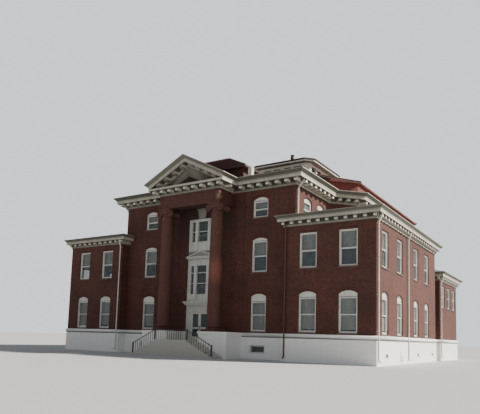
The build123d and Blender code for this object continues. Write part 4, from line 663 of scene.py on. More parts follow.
@dataclass(frozen=True)
class Sheet(Finish):
    """Coated roof metal with standing seams shown as lines of relief."""

    rust: Tint
    seam: float = 0.5

    def lay(self, bench: Bench, shader: bpy.types.Node) -> tuple:
        """Lays seams, stains and a trace of rust."""
        x, y, _ = bench.parts()
        wave = bench.math("PINGPONG", bench.math("ADD", x, y), self.seam)
        air = bench.air(0.7, 0.25)
        colour = bench.blend(bench.span(air["Blotch"], 0.4, 0.7, 0.0, 0.5), self.base, self.rust)
        rough = bench.span(air["Blotch"], 0.3, 0.7, self.roughness, self.roughness + 0.25)
        return (bench.blend(air["Flake"], colour, self.rust), rough,
                bench.span(wave, 0.0, 0.02, 1.0, 0.0), 0.02)


@dataclass(frozen=True)
class Glass(Finish):
    """Old window glass, a little wavy, with dust on it."""

    dust: Tint
    clear: float
    sheen: tuple = (1.0, 0.90, 0.80, 1)

    def lay(self, bench: Bench, shader: bpy.types.Node) -> tuple:
        """Lays dust, clearness and waves."""
        blotch = bench.air(1.8)["Blotch"]
        colour = bench.blend(bench.span(blotch, 0.35, 0.75, 0.0, 0.35), self.base, self.dust)
        solid = bench.span(blotch, 0.3, 0.8, 1 - self.clear, 1 - 0.85 * self.clear)
        bench.tree.links.new(solid, shader.inputs["Alpha"])
        shader.inputs["IOR"].default_value = 1.5
        shader.inputs["Specular Tint"].default_value = self.sheen
        rough = bench.span(blotch, 0.3, 0.8, self.roughness, self.roughness + 0.15)
        return colour, rough, bench.noise(bench.place(), 3.0, 1.0), 0.01


@dataclass(frozen=True)
class Stone(Finish):
    """Worn step stone with a coarse grain."""

    speck: Tint

    def lay(self, bench: Bench, shader: bpy.types.Node) -> tuple:
        """Lays grain, specks and stains."""
        speck = bench.span(bench.noise(bench.place(), 90.0, 3.0), 0.5, 0.68, 0.0, 0.6)
        air = bench.air(1.2)
        film = bench.span(air["Blotch"], 0.4, 0.75, 0.0, 0.4)
        colour = bench.blend(film, bench.blend(speck, self.base, self.speck), self.speck)
        rough = bench.span(air["Grain"], 0.3, 0.7, self.roughness, self.roughness + 0.15)
        return colour, rough, air["Grain"], 0.003


@dataclass(frozen=True)
class Boards(Finish):
    """Floor boards laid along the building's depth."""

    gap: Tint
    board: float = 0.09

    def lay(self, bench: Bench, shader: bpy.types.Node) -> tuple:
        """Lays boards and their grain."""
        wave = bench.math("PINGPONG", bench.parts()[0], self.board)
        line = bench.span(wave, 0.0, 0.004, 1.0, 0.0)
        grain = bench.noise(bench.stretched((30.0, 2.0, 30.0)), 1.0, 6.0)
        colour = bench.blend(bench.span(grain, 0.35, 0.7, 0.0, 0.5), self.base, self.gap)
        rough = bench.span(grain, 0.3, 0.7, self.roughness, self.roughness + 0.2)
        return (bench.blend(line, colour, self.gap), rough,
                bench.math("SUBTRACT", grain, line), 0.001)


BRICK = Brick("brick_walls", (105, 52, 41), 0.82, (75, 39, 32), (109, 83, 72), (38, 27, 25))
ARCH_BRICK = Paint("arch_bricks", (98, 56, 46), 0.82, (84, 50, 42), (58, 38, 34), 0.5, 0.4, 5.0)
# Trim paint, with painted shade on faces that look down.
TRIM = Paint("trim_white", (226, 223, 211), 0.6, (160, 152, 138), (140, 134, 120), 0.3, 0.3,
             underside_shade=0.85, mould_and_shade=(78, 77, 68))
# Door bay paint: a little greyer than the trim as a painted shade of the porch, and shaded
# underneath.
BAY = BayPaint("bay_white", (216, 217, 211), 0.6, (150, 146, 136), (128, 126, 116), 0.3, 0.35,
               underside_shade=0.9, mould_and_shade=(70, 69, 62))
# Keystone dark grey: a painted shade of the porch, with painted shade underneath.
SHADED_KEYSTONE = Paint("keystone_painted_shade", (150, 149, 142), 0.7, (120, 116, 108), (92, 90, 82), 0.3, 0.35,
                 underside_shade=0.9, mould_and_shade=(56, 55, 50))
# Cornice paint: grime on the gutter, and painted shade under soffits, in the modillion band, on
# the frieze and to the front.
MAIN_CORNICE = CornicePaint(
    "main_cornice_white", (214, 210, 194), 0.6, (120, 114, 100), (120, 116, 102), 0.35, 0.4,
    underside_shade=0.95, mould_and_shade=(66, 66, 57), levels=(13.558, 13.800, 13.983),
    shares=(0.62, 1.00, 0.25, 0.52))
WING_CORNICE = replace(MAIN_CORNICE, name="wing_cornice_white", levels=(10.058, 10.270, 10.430))
REAR_CORNICE = replace(MAIN_CORNICE, name="rear_cornice_white", levels=(7.832, 8.044, 8.204))
# Pediment paint with painted shade; the raking frieze darker still, a painted shade of its recess.
GABLE = replace(MAIN_CORNICE, name="gable_white", mould_and_shade=(70, 70, 60), levels=(), shares=(0.35,))
SHADED_FRIEZE = replace(GABLE, name="raking_frieze_painted_shade", base=(200, 196, 180), grime=(110, 106, 92),
                 shares=(0.72,))
SASH = Paint("sash_white", (228, 226, 220), 0.55, (166, 158, 146), (150, 146, 138), 0.35, 0.25,
             3.0)
SILL = Paint("sill_stone", (106, 84, 76), 0.8, (150, 140, 130), (66, 50, 44), 0.3, 0.5, 2.0)
BASE = Paint("base_white", (252, 252, 249), 0.7, (214, 212, 206), (190, 190, 184), 0.15, 0.08)
# Ledge paint: a painted shadow line below 1.75 m, and painted shade on faces that look down.
LEDGE = CornicePaint("base_ledge_white", (252, 252, 249), 0.7, (214, 212, 206), (190, 190, 184),
                     0.15, 0.08, underside_shade=0.8, mould_and_shade=(120, 122, 122), levels=(1.750,),
                     shares=(0.9, 0.0))
# Column and beam paint, with painted shade on faces that look down.
COLUMN = WornPaint("column_brown", (98, 60, 51), 0.75, (158, 108, 90), (72, 45, 40), 0.46, 0.45,
                   1.6, 0.5, (56, 38, 34), (3.02, -14.72, 6.85), 1.25, (128, 76, 64), 0.7)
BEAM = WornPaint("beam_brown", (92, 56, 48), 0.75, (140, 96, 82), (66, 42, 37), 0.46, 0.5,
                 1.6, 0.6, (44, 31, 28), (3.09, -14.84, 12.85), 0.42, (150, 112, 100), 1.8)
# Porch ceiling painted near black: a painted shade of the porch's hollow.
SHADED_SOFFIT = Paint("porch_ceiling_painted_shade", (52, 40, 36), 0.8, (70, 54, 48), (30, 25, 23), 0.3, 0.5)
ATTIC = AtticPaint("attic_red", (116, 50, 42), 0.7, (136, 70, 58), (74, 38, 33), 0.3, 0.35)
# Modillion paint: painted shade on their upper parts near the soffit and on faces that look down.
BLOCK = CornicePaint("modillion_white", (228, 225, 212), 0.6, (160, 152, 138), (140, 134, 120),
                     0.3, 0.3, underside_shade=0.7, mould_and_shade=(74, 74, 64), levels=(10.185, 10.3, 13.70),
                     shares=(0.0, 0.75, 0.0, 0.75))
TILE = Tile("roof_tiles", (98, 45, 38), 0.65, (126, 62, 51), (50, 32, 29))
# Darker tiles for the roof of the block behind the pediment: a painted shade.
SHADED_CROWN_TILE = Tile("crown_tiles_painted_shade", (70, 36, 32), 0.7, (88, 46, 40), (40, 28, 26))
RIDGE = Tile("ridge_tiles", (56, 36, 34), 0.6, (80, 48, 42), (34, 27, 26))
# Dark paint of that roof's eave: a painted shade.
SHADED_CROWN_EAVE = Paint("crown_eave_painted_shade", (58, 38, 35), 0.75, (80, 52, 44), (40, 29, 28), 0.3, 0.4, 2.0)
METAL = Sheet("roof_metal", (126, 122, 116), 0.45, (96, 82, 74))
GLASS = Glass("window_glass", (62, 56, 46), 0.05, (142, 136, 118), 0.92)
STONE = Stone("step_stone", (176, 172, 162), 0.75, (96, 92, 86))
IRON = Paint("dark_iron", (40, 40, 42), 0.45, (86, 56, 44), (24, 24, 26), 0.2, 0.3, 6.0)
FLOOR = Boards("floor_boards", (138, 104, 74), 0.5, (60, 44, 32))
BLIND = Paint("window_blinds", (254, 254, 240), 0.7, (240, 238, 224), (226, 224, 206), 0.1, 0.3,
              2.0)
# Grey strip that stands in for the shadow line under a window's head panel: a painted shadow.
PANEL_SHADOW_LINE = Paint("panel_shadow_line_grey", (96, 96, 90), 0.7, (130, 128, 120), (60, 60, 56), 0.1, 0.4, 3.0)
BRICK_PAINT = Paint("pipe_brick_red", (98, 58, 50), 0.6, (140, 120, 110), (66, 42, 38), 0.25, 0.4,
                    2.0)

FINISH_OF_SLOT = {
    "brick_shade": BRICK, "painted_base": BASE, "floor_boards": FLOOR, "trim_paint": TRIM,
    "column_paint": COLUMN, "attic_paint": ATTIC, "roof_tile": TILE, "roof_metal": METAL,
    "window_glass": GLASS, "step_stone": STONE, "dark_iron": IRON,
}
FINISH_OF_NODE = {
    "window_frames": SASH, "window_sills": SILL, "lantern_roof": TRIM, "crown_roof": SHADED_CROWN_EAVE,
    "roof_vent": TRIM, "main_cornice": MAIN_CORNICE, "main_modillions": BLOCK,
    "wing_modillions": BLOCK, "porch_beam": BEAM, "porch_ceiling": SHADED_SOFFIT,
    "wing_cornices": WING_CORNICE, "rear_wing_cornices": REAR_CORNICE, "pediment": GABLE,
    "door_bay": BAY, "keystone": SHADED_KEYSTONE,
}


# Windows


@dataclass(frozen=True)
class Opening:
    """Heights of a window opening: sill, spring and crown of its head, panel, meeting rail.

    drop is the share of the glass that its blind covers, and swing how far that differs.
    """

    sill: float
    spring: float
    crown: float
    panel: float
    meeting: float
    drop: float = 0.50
    swing: float = 0.06


class Storey(Enum):
    """The kinds of window, by the storey they light."""

    LOWER_WING = Opening(2.134, 4.865, 5.083, 0.330, 3.430, 0.95, 0.03)
    LOWER_MAIN = Opening(2.134, 4.865, 5.083, 0.500, 3.430, 0.95, 0.03)
    UPPER_WING = Opening(6.778, 9.370, 9.370, 0.0, 8.060)
    UPPER_MAIN = Opening(6.778, 9.340, 9.522, 0.180, 8.060)
    THIRD = Opening(11.156, 12.563, 12.809, 0.160, 11.830)
    REAR_UPPER = Opening(5.150, 7.250, 7.250, 0.0, 6.200, 0.22, 0.0)


WING = (Storey.LOWER_WING, Storey.UPPER_WING)
MAIN = (Storey.LOWER_MAIN, Storey.UPPER_MAIN, Storey.THIRD)
THIRD = (Storey.THIRD,)
REAR = (Storey.REAR_UPPER,)


@dataclass(frozen=True)
class Wall:
    """A place on a wall's face, and the wall's turn; 0 faces the front and 90 the right."""

    x: float
    y: float
    turn: float

    def on_wall(self, local: Array) -> Array:
        """Places points given as along the wall, out from it and up.

        With the turn t, x = x0 + s cos t + d sin t and y = y0 + s sin t - d cos t.

        Args:
            local: Points, any shape ending in three numbers.

        Returns:
            The points in the building's frame.
        """
        return np.asarray(local) @ self.axes() + [self.x, self.y, 0]

    def axes(self) -> Array:
        """Unit axes along the wall, out from it and up."""
        turn = radians(self.turn)
        return np.array([[cos(turn), sin(turn), 0], [sin(turn), -cos(turn), 0], [0, 0, 1]])

    def tilted(self, degrees: float) -> Array:
        """The axes, turned about the one along the wall.

        Args:
            degrees: How far the outer one rises.

        Returns:
            Unit axes, (3, 3).
        """
        along, out, up = self.axes()
        tilt = radians(degrees)
        return np.stack([along, out * cos(tilt) + up * sin(tilt),
                         up * cos(tilt) - out * sin(tilt)])


@dataclass(frozen=True)
class Window(Wall):
    """A window: its middle line on the wall face, and its kind."""

    storey: Storey


def rectangle(half: float, low: float, high: float) -> Array:
    """Corners of an upright rectangle, against the clock."""
    return np.array([[-half, low], [half, low], [half, high], [-half, high]])


@dataclass
class Windows:
    """Sashes, casings, blinds and brick heads of every window.

    rows gives, for the right half, places across, places in depth, the wall's turn and kinds.
    """

    width: float = 1.375
    reveal: float = 0.110
    frame_depth: float = 0.110
    stile: float = 0.110
    meeting_rail: float = 0.060
    arch_steps: int = 5
    brick_joint: float = 0.011
    brick_head: float = 0.165
    brick_relief: float = 0.024
    flat_inset: float = 0.05
    slat: float = 0.050
    slat_width: float = 0.081
    slat_tilt: float = 50.0
    blind_gap: float = 0.035
    head_rail: float = 0.120
    # Size of the painted shadow line under each head panel.
    line: tuple = (1.275, 0.008, 0.036)
    back: float = 15.405
    back_xs: tuple = (-5.771, -2.885, 0.0, 2.885, 5.771)
    rows: tuple = (
        ((10.411, 13.477), (-13.795,), 0, WING),
        ((5.771,), (-12.895,), 0, MAIN),
        ((14.0,), (4.705,), 0, REAR),
        ((15.470,), (-11.882, -8.381, -3.787, -0.272), 90, WING),
        ((8.895,), (-10.795, -8.345), 90, THIRD),
        ((10.750,), (-2.595, 0.905, 4.405, 7.905, 11.405), 90, THIRD),
        ((15.470,), (6.115, 8.805, 11.095), 90, REAR),
        ((13.110,), (2.835,), 180, WING),
        ((14.0,), (12.505,), 180, REAR),
    )

    def places(self) -> list[Window]:
        """Every window of the building."""
        right = [Window(x, y, turn, kind) for xs, ys, turn, kinds in self.rows
                 for x in xs for y in ys for kind in kinds]
        left = [Window(-each.x, each.y, -each.turn, each.storey) for each in right]
        return right + left + [Window(x, self.back, 180, kind) for x in self.back_xs
                               for kind in MAIN]

    def head(self, kind: Opening, steps: int) -> Array:
        """Points of a window's head from its right foot to its left one.

        The arch has radius R = (h^2 + rise^2) / (2 rise) for the half width h, and a point at
        turn a from its crown is (R sin a, crown - R (1 - cos a)).

        Args:
            kind: Heights of the opening.
            steps: Equal steps of the arch.

        Returns:
            Places along the wall and up, (steps + 1, 2), or two corners if the head is flat.
        """
        half = self.width / 2
        rise = kind.crown - kind.spring
        if not rise:
            return np.array([[half, kind.spring], [-half, kind.spring]])
        radius = (half**2 + rise**2) / (2 * rise)
        turns = 2 * np.arctan2(rise, half) * np.linspace(1, -1, steps + 1)
        return np.stack([radius * np.sin(turns), kind.crown - radius * (1 - np.cos(turns))],
                        axis=1)

    def build(self) -> None:
        """Makes the casings, the sashes, the brick heads, the blinds and the painted shadow lines.
        """
        casing = np.array([[0, -0.01], [0, 0.035], [0.018, 0.042], [0.03, 0.03], [0.05, 0.018],
                           [0.05, -0.01]]) - [0, self.reveal]
        upper = np.array([[0, -0.005], [0, 0.016], [-0.008, 0.02], [-0.052, 0.02],
                          [-0.06, 0.014], [-0.06, -0.005]]) - [0, self.reveal]
        lower = np.array([[-0.004, -0.1], [-0.004, -0.045], [0.022, -0.045], [0.03, -0.055],
                          [0.03, -0.1]]) - [0, self.reveal]
        half, rail = self.width / 2 - self.stile, self.meeting_rail / 2
        casings, sashes, heads, blinds, lines = (Shell() for _ in range(5))
        for window in self.places():
            kind = window.storey.value
            foot, top = kind.sill + self.stile, kind.spring - max(kind.panel, self.stile)
            jambs = np.vstack([[self.width / 2, kind.sill], self.head(kind, self.arch_steps),
                               [-self.width / 2, kind.sill]])
            casings.carried(window.on_wall(swept(jambs, casing)))
            for profile, low, high in ((upper, kind.meeting + rail, top),
                                       (lower, foot, kind.meeting - rail)):
                ring = swept(rectangle(half, low, high), profile, True)
                sashes.carried(window.on_wall(ring), closed=True)
            if kind.panel:
                # Painted shadow: a dark strip between the head panel and the rail below it.
                line = window.on_wall([[0, 0.001 - self.reveal, top + self.head_rail]])
                lines.boxes(line, window.axes(), self.line)
            self.brick_row(heads, window)
            self.blind(blinds, window, half, foot, top)
        casings.piece("window_casings", SASH, "trim_paint")
        sashes.piece("window_sashes", SASH, "trim_paint")
        heads.piece("window_brick_heads", ARCH_BRICK, "brick_shade")
        blinds.piece("window_blinds", BLIND, "trim_paint")
        lines.piece("window_panel_shadow_lines", PANEL_SHADOW_LINE, "trim_paint")

    def brick_row(self, shell: Shell, window: Window) -> None:
        """Adds the bricks on edge over a window.

        Each brick stands across the head's curve: its middle is half its height outside it.

        Args:
            shell: What the bricks are added to.
            window: The window.
        """
        outline = self.head(window.storey.value, 24)
        if len(outline) == 2:
            inset = [self.flat_inset, 0]
            outline = np.linspace(outline[0] + inset, outline[1] - inset, 25)
        steps = np.linalg.norm(np.diff(outline, axis=0), axis=1)
        run = np.concatenate([[0], np.cumsum(steps)])
        count = int(round(run[-1] / COURSE))
        at = (np.arange(count) + 0.5) * run[-1] / count
        place, ahead, behind = (
            np.stack([np.interp(at + step, run, side) for side in outline.T], axis=1)
            for step in (0, 0.01, -0.01))
        tangent = ahead - behind
        tangent /= np.linalg.norm(tangent, axis=1, keepdims=True)
        radial = np.stack([tangent[:, 1], -tangent[:, 0]], axis=1)
        middle = place + radial * self.brick_head / 2
        local = np.insert(middle, 1, -0.002, axis=1)
        flat = window.axes()[[0, 2]]
        out = np.broadcast_to(window.axes()[1], (count, 3))
        shell.boxes(window.on_wall(local), np.stack([tangent @ flat, out, radial @ flat], axis=1),
                    [run[-1] / count - self.brick_joint, self.brick_relief, self.brick_head])

    def blind(self, shell: Shell, window: Window, half: float, low: float, high: float) -> None:
        """Adds the slats of a blind behind a sash, lowered by a share that differs by window.

        Args:
            shell: What the slats are added to.
            window: The window.
            half: Half the width of the glass.
            low: Foot of the lower glass.
            high: Head of the upper glass.
        """
        wave = sin(3.1 * window.x + 5.3 * window.y + 2.0 * high)
        drop = window.storey.value.drop + window.storey.value.swing * wave
        count = max(2, int(drop * (high - low) / self.slat))
        local = np.zeros((count, 3))
        local[:, 1] = -(self.reveal + self.frame_depth + self.blind_gap)
        local[:, 2] = high - (np.arange(count) + 0.5) * self.slat
        shell.boxes(window.on_wall(local), window.tilted(self.slat_tilt),
                    [2 * half + 0.04, 0.002, self.slat_width])


# Columns and capitals


@dataclass
class Colonnade:
    """The two porch columns and their capitals; mouldings are radius and height.

    clear is how far fine parts sink into what carries them.
    """

    x: float = 2.600
    y: float = -14.345
    foot: float = 2.010
    plinth_side: float = 1.300
    plinth_height: float = 0.150
    lower_torus: tuple = (0.640, 0.130)
    scotia: tuple = (0.560, 0.070)
    upper_torus: tuple = (0.605, 0.090)
    hollow: float = 0.030
    lip: float = 0.012
    fillet: float = 0.030
    flare: float = 0.015
    taper: float = 1.8
    foot_radius: float = 0.550
    neck_radius: float = 0.470
    neck: float = 11.560
    astragal: tuple = (0.510, 0.060)
    echinus_foot: float = 11.780
    echinus: float = 0.610
    eggs: int = 12
    egg: float = 0.022
    abacus_half: float = 0.590
    abacus_foot: float = 12.170
    volute_x: float = 0.595
    volute_z: float = 11.885
    volute_radius: float = 0.285
    volute_waist: float = 0.200
    depth: float = 0.960
    sag: float = 0.030
    clear: float = 0.004
    belt: tuple = (0.022, 0.035)
    collar: float = 0.090
    turns: float = 2.6
    eye: float = 0.042
    eye_rise: float = 0.024
    band: float = 0.3
    relief: float = 0.025

    def build(self) -> None:
        """Makes the columns and the capitals of both sides."""
        shafts, heads = Shell(), Shell()
        for x in (-self.x, self.x):
            self.column(shafts, x)
            self.capital(heads, x)
        shafts.piece("turned_columns", COLUMN, "column_paint", ("columns",), smooth=32)
        heads.piece("carved_capitals", COLUMN, "column_paint", ("capitals",), smooth=38)

    def column(self, shell: Shell, x: float) -> None:
        """Adds a column: square plinth, attic base, and a shaft that narrows in a curve.

        The shaft's radius falls from foot to neck by the share t^1.8 of the height share t.

        Args:
            shell: What the column is added to.
            x: Place of its axis.
        """
        base = self.foot + self.plinth_height
        hollow = base + self.lower_torus[1]
        upper = hollow + self.scotia[1]
        fillet = upper + self.upper_torus[1]
        start = fillet + self.fillet
        share, dip = np.linspace(0, 1, 22), np.linspace(0, pi, 9)
        profile = np.vstack([
            half_round(self.lower_torus[0], base, self.lower_torus[1], 13),
            np.stack([self.scotia[0] + self.hollow * (1 - np.sin(dip)),
                      hollow + self.lip + (self.scotia[1] - 2 * self.lip) * dip / pi], axis=1),
            half_round(self.upper_torus[0], upper, self.upper_torus[1], 11),
            [[self.foot_radius + self.flare, fillet], [self.foot_radius + self.flare, start],
             [self.foot_radius + 0.006, start + self.flare]],
            np.stack([self.foot_radius
                      - (self.foot_radius - self.neck_radius) * share**self.taper,
                      start + 0.05 + share * (self.neck - start - 0.05)], axis=1),
        ])
        shell.turned(profile[:, 0], profile[:, 1], (x, self.y, 0), 64)
        shell.boxes([x, self.y, self.foot + self.plinth_height / 2], np.eye(3),
                    [self.plinth_side, self.plinth_side, self.plinth_height])

    def capital(self, shell: Shell, x: float) -> None:
        """Adds a capital: astragal, echinus with eggs, abacus, rolls, channel and volutes.

        Args:
            shell: What the capital is added to.
            x: Place of its axis.
        """
        self.bell(shell, x)
        steps = np.array([[0.03, 0.0], [0.012, 0.03], [0.004, 0.05], [0.004, 0.075],
                          [0.0, 0.085], [0.0, 0.13]])
        shell.squares(self.abacus_half - steps[:, 0], self.abacus_foot + steps[:, 1], x, self.y)
        self.channel(shell, x)
        for side in (-1, 1):
            self.roll(shell, x + side * self.volute_x)
            for face in (-1, 1):
                self.spiral(shell, x + side * self.volute_x, side, face)

    def bell(self, shell: Shell, x: float) -> None:
        """Adds the astragal and the echinus.

        The echinus swells as r0 + (r1 - r0) sin(pi t / 2) and carries eggs: a further
        0.022 sin(pi t) |cos 12a| at turn a.

        Args:
            shell: What the bell is added to.
            x: Place of its axis.
        """
        radius, height = self.astragal
        ring = half_round(radius, self.neck, height, 9)
        share = np.linspace(0, 1, 12)
        swelling = self.neck_radius + (self.echinus - self.neck_radius) * np.sin(pi / 2 * share)
        rise = self.echinus_foot + share * (self.volute_z - self.echinus_foot)
        profile = np.vstack([ring, [[self.neck_radius, self.neck + height]],
                             np.stack([swelling, rise], axis=1),
                             [[self.echinus - 0.02, self.volute_z + 0.02],
                              [self.echinus - 0.02, self.abacus_foot]]])
        swell = np.concatenate([np.zeros(len(ring) + 1), self.egg * np.sin(pi * share), [0, 0]])
        segments = 8 * self.eggs
        turns = 2 * pi * np.arange(segments) / segments
        reach = profile[:, :1] + swell[:, None] * np.abs(np.cos(self.eggs * turns))
        shell.turned(reach, profile[:, 1], (x, self.y, 0), segments)

    def channel(self, shell: Shell, x: float) -> None:
        """Adds the band between the volutes, its sunk middle framed by two fillets that sag.

        Args:
            shell: What the band is added to.
            x: Place of the capital's axis.
        """
        along = np.linspace(-self.volute_x, self.volute_x, 13)
        sag = self.sag * (1 - (along / self.volute_x) ** 2)
        for high, low, back in ((0.0, 0.045, 0.0), (0.045, 0.150, 0.018), (0.150, 0.190, 0.0)):
            reach = self.depth / 2 - self.clear - back
            upper = self.abacus_foot - high - sag * (high > 0)
            lower = self.abacus_foot - low - sag
            ring = [np.stack([x + along, np.full(13, self.y + y), level], axis=-1)
                    for y, level in ((-reach, upper), (reach, upper), (reach, lower),
                                     (-reach, lower))]
            shell.carried(np.stack(ring, axis=1))

    def roll(self, shell: Shell, x: float) -> None:
        """Adds a side roll, a surface of revolution about a line from front to back.

        Its radius is waist + (volute - waist) (|y| / reach)^2, with a round belt in its middle.

        Args:
            shell: What the roll is added to.
            x: Place of its axis.
        """
        reach = self.depth / 2
        along = np.linspace(-reach, reach, 33)
        share = np.clip(np.abs(along) / (reach - self.collar), 0, 1)
        radius = self.volute_waist + (self.volute_radius - self.volute_waist) * share**2
        radius += self.belt[0] * np.exp(-((along / self.belt[1]) ** 2))
        shell.turned(radius, along, (x, self.y, self.volute_z), 40, level=True)

    def spiral(self, shell: Shell, x: float, side: int, face: int) -> None:
        """Adds a volute's band and its eye on one face of a roll.

        The band's outer edge has radius R (eye / R)^(t), where t runs from 0 to 1 over all its
        turns, and its section is a low arch.

        Args:
            shell: What the band is added to.
            x: Place of the volute's centre.
            side: Which way it winds.
            face: -1 on the front, 1 on the back.
        """
        share = np.linspace(0, 1, 120)
        turn = (pi / 2 - side * 2 * pi * self.turns * share)[:, None]
        outer = self.volute_radius * (self.eye / self.volute_radius) ** share
        section = np.array([[0, 0], [0, 0.7], [0.2, 1.0], [0.8, 1.0], [1, 0.7], [1, 0]])
        radius = outer[:, None] * (1 - self.band * section[:, 0])
        start = self.y + face * self.depth / 2
        out = start + face * (self.relief * section[:, 1] - self.clear)
        shell.carried(np.stack([x + radius * np.cos(turn), np.broadcast_to(out, radius.shape),
                                self.volute_z + radius * np.sin(turn)], axis=-1))
        bulge = np.linspace(0, pi / 2, 7)[:-1]
        shell.turned((self.eye + self.clear) * np.cos(bulge),
                     face * self.eye_rise * np.sin(bulge), (x, start, self.volute_z), 20,
                     level=True)


# Tiled roofs


def both_sides(feet: list[tuple], heads: list[tuple], low: float, high: float) -> list[tuple]:
    """Lines of a roof's hips on its left and on its right.

    Args:
        feet: Places of the lower ends on the right.
        heads: Places of the upper ends on the right.
        low: Height of the lower ends.
        high: Height of the upper ends.

    Returns:
        Lower and upper end of each line.
    """
    return [((side * foot[0], foot[1], low), (side * head[0], head[1], high))
            for side in (-1, 1) for foot, head in zip(feet, heads)]


HALL_HIPS = both_sides([(9.003, -6.855), (11.010, -4.848), (11.010, 13.658), (9.003, 15.665)],
                       [(2.735, 0.905), (3.150, 1.320), (3.150, 7.490), (2.735, 7.905)],
                       15.45, 19.14)
CROWN_HIPS = both_sides([(4.40, -13.30), (4.40, -9.79)], [(1.62, -11.545)] * 2, 15.58, 17.04)
CROWN_HIPS.append(((-1.62, -11.545, 17.04), (1.62, -11.545, 17.04)))
LANTERN_HIPS = both_sides([(2.56, 1.495), (2.56, 7.315)], [(0.06, 3.995), (0.06, 4.815)],
                          20.85, 21.40)
LANTERN_HIPS.append(((0.0, 3.995, 21.40), (0.0, 4.815, 21.40)))


@dataclass
class TileRoof:
    """Interlocking tiles in courses over the sloped sides of a CAD roof.

    shortest is the least slope that carries tiles, and limit the height that no tile passes.
    """

    node: str
    hips: list[tuple]
    width: float = 0.300
    gauge: float = 0.340
    lap: float = 0.030
    foot: float = 0.006
    rib: float = 0.032
    sunk: float = -0.02
    shortest: float = 0.3
    cap: float = 0.120
    cap_length: float = 0.38
    limit: float = 100.0
    finish: Finish = TILE

    def slopes(self, solid: bpy.types.Object) -> list[tuple[Array, Array]]:
        """Sloped sides of the roof's solid.

        Args:
            solid: The CAD node's object.

        Returns:
            The outward normal and the triangles, (n, 3, 3), of each side.
        """
        mesh = solid.data
        mesh.calc_loop_triangles()
        corners = np.empty(len(mesh.loop_triangles) * 3, np.int32)
        mesh.loop_triangles.foreach_get("vertices", corners)
        triangles = corner_places(mesh)[corners].reshape(-1, 3, 3)
        normals = np.cross(triangles[:, 1] - triangles[:, 0], triangles[:, 2] - triangles[:, 0])
        normals /= np.maximum(np.linalg.norm(normals, axis=1, keepdims=True), 1e-12)
        away = np.einsum("ij,ij->i", normals, triangles[:, 0])
        sloped = (normals[:, 2] > 0.2) & (normals[:, 2] < 0.998)
        keys = np.round(np.column_stack([normals, away]) * [20, 20, 20, 5])[sloped]
        kinds, member = np.unique(keys, axis=0, return_inverse=True)
        members = [member.ravel() == kind for kind in range(len(kinds))]
        return [(normals[sloped][chosen].mean(axis=0), triangles[sloped][chosen])
                for chosen in members]

    def build(self, frame: dict) -> None:
        """Makes the tiles and the caps of the hips and ridges.

        Args:
            frame: The loaded model.
        """
        tiles, caps = Shell(), Shell()
        for normal, triangles in self.slopes(frame["nodes"][self.node]):
            self.courses(tiles, normal / np.linalg.norm(normal), triangles)
        for start, end in self.hips:
            self.caps(caps, np.array(start), np.array(end))
        for shell in (tiles, caps):
            shell.points = [np.minimum(points, [np.inf, np.inf, self.limit])
                            for points in shell.points]
        tiles.piece(f"{self.node}_tiles", self.finish, "roof_tile")
        caps.piece(f"{self.node}_ridge_tiles", RIDGE, "roof_tile", smooth=40)

    def courses(self, shell: Shell, normal: Array, triangles: Array) -> None:
        """Adds the tiles of one slope.

        On the slope, u runs across and v up. The height over the solid is a saw in v, high at
        each course's foot, plus a rib at each tile's side in u. Each row is cut off where the
        slope's outline crosses it, and a hidden edge closes it down to the solid.

        Args:
            shell: What the tiles are added to.
            normal: The slope's outward normal.
            triangles: The slope's triangles.
        """
        up = np.array([0.0, 0.0, 1.0]) - normal[2] * normal
        up /= np.linalg.norm(up)
        across = np.cross(up, normal)
        u, v = triangles @ across, triangles @ up
        bottom, top = v.min(), v.max()
        if top - bottom < self.shortest:
            return
        count = max(1, int(round((top - bottom) / self.gauge)))
        edges = np.linspace(bottom, top, count + 1)
        rows = np.concatenate([[bottom], np.repeat(edges, 2)[1:-1], [top]])
        lifts = np.concatenate([[self.sunk], np.tile([self.lap, self.foot], count), [self.sunk]])
        low, high = self.reach(u, v, np.clip(rows, bottom + 1e-4, top - 1e-4))
        tiles = np.arange(np.floor(low.min() / self.width), np.ceil(high.max() / self.width))
        offsets = np.array([0.0, 0.70, 0.76, 0.92, 0.98])
        columns = ((tiles[:, None] + offsets) * self.width).ravel()
        rise = np.tile([0.0, 0.0, self.rib, self.rib, 0.0], len(tiles))
        lifts, low, high = lifts[:, None], low[:, None], high[:, None]
        inside = (columns > low) & (columns < high) & (lifts > 0)
        height = lifts + np.where(inside, rise, 0.0)
        places = np.hstack([low, np.clip(columns, low, high), high])
        height = np.pad(height, ((0, 0), (1, 1)), constant_values=self.sunk)
        points = (normal * float(triangles[0, 0] @ normal) + places[..., None] * across
                  + rows[:, None, None] * up + height[..., None] * normal)
        faces = grid_faces(*places.shape)
        wide = np.ptp(places.ravel()[faces], axis=1) > 1e-5
        shell.add(points, faces[wide | (np.ptp(height.ravel()[faces], axis=1) > 0.015)])

    @staticmethod
    def reach(u: Array, v: Array, rows: Array) -> tuple[Array, Array]:
        """Least and greatest place across a slope at each height of it.

        Args:
            u: Places across of the triangles' corners, (n, 3).
            v: Places up of the triangles' corners, (n, 3).
            rows: Heights asked for.

        Returns:
            The least and the greatest places.
        """
        start_u, start_v = u.ravel(), v.ravel()
        end_u, end_v = np.roll(u, -1, axis=1).ravel(), np.roll(v, -1, axis=1).ravel()
        run = np.where(np.abs(end_v - start_v) < 1e-9, 1e-9, end_v - start_v)
        share = (rows[:, None] - start_v) / run
        met = (share >= 0) & (share <= 1)
        place = start_u + share * (end_u - start_u)
        return (np.where(met, place, np.inf).min(axis=1),
                np.where(met, place, -np.inf).max(axis=1))

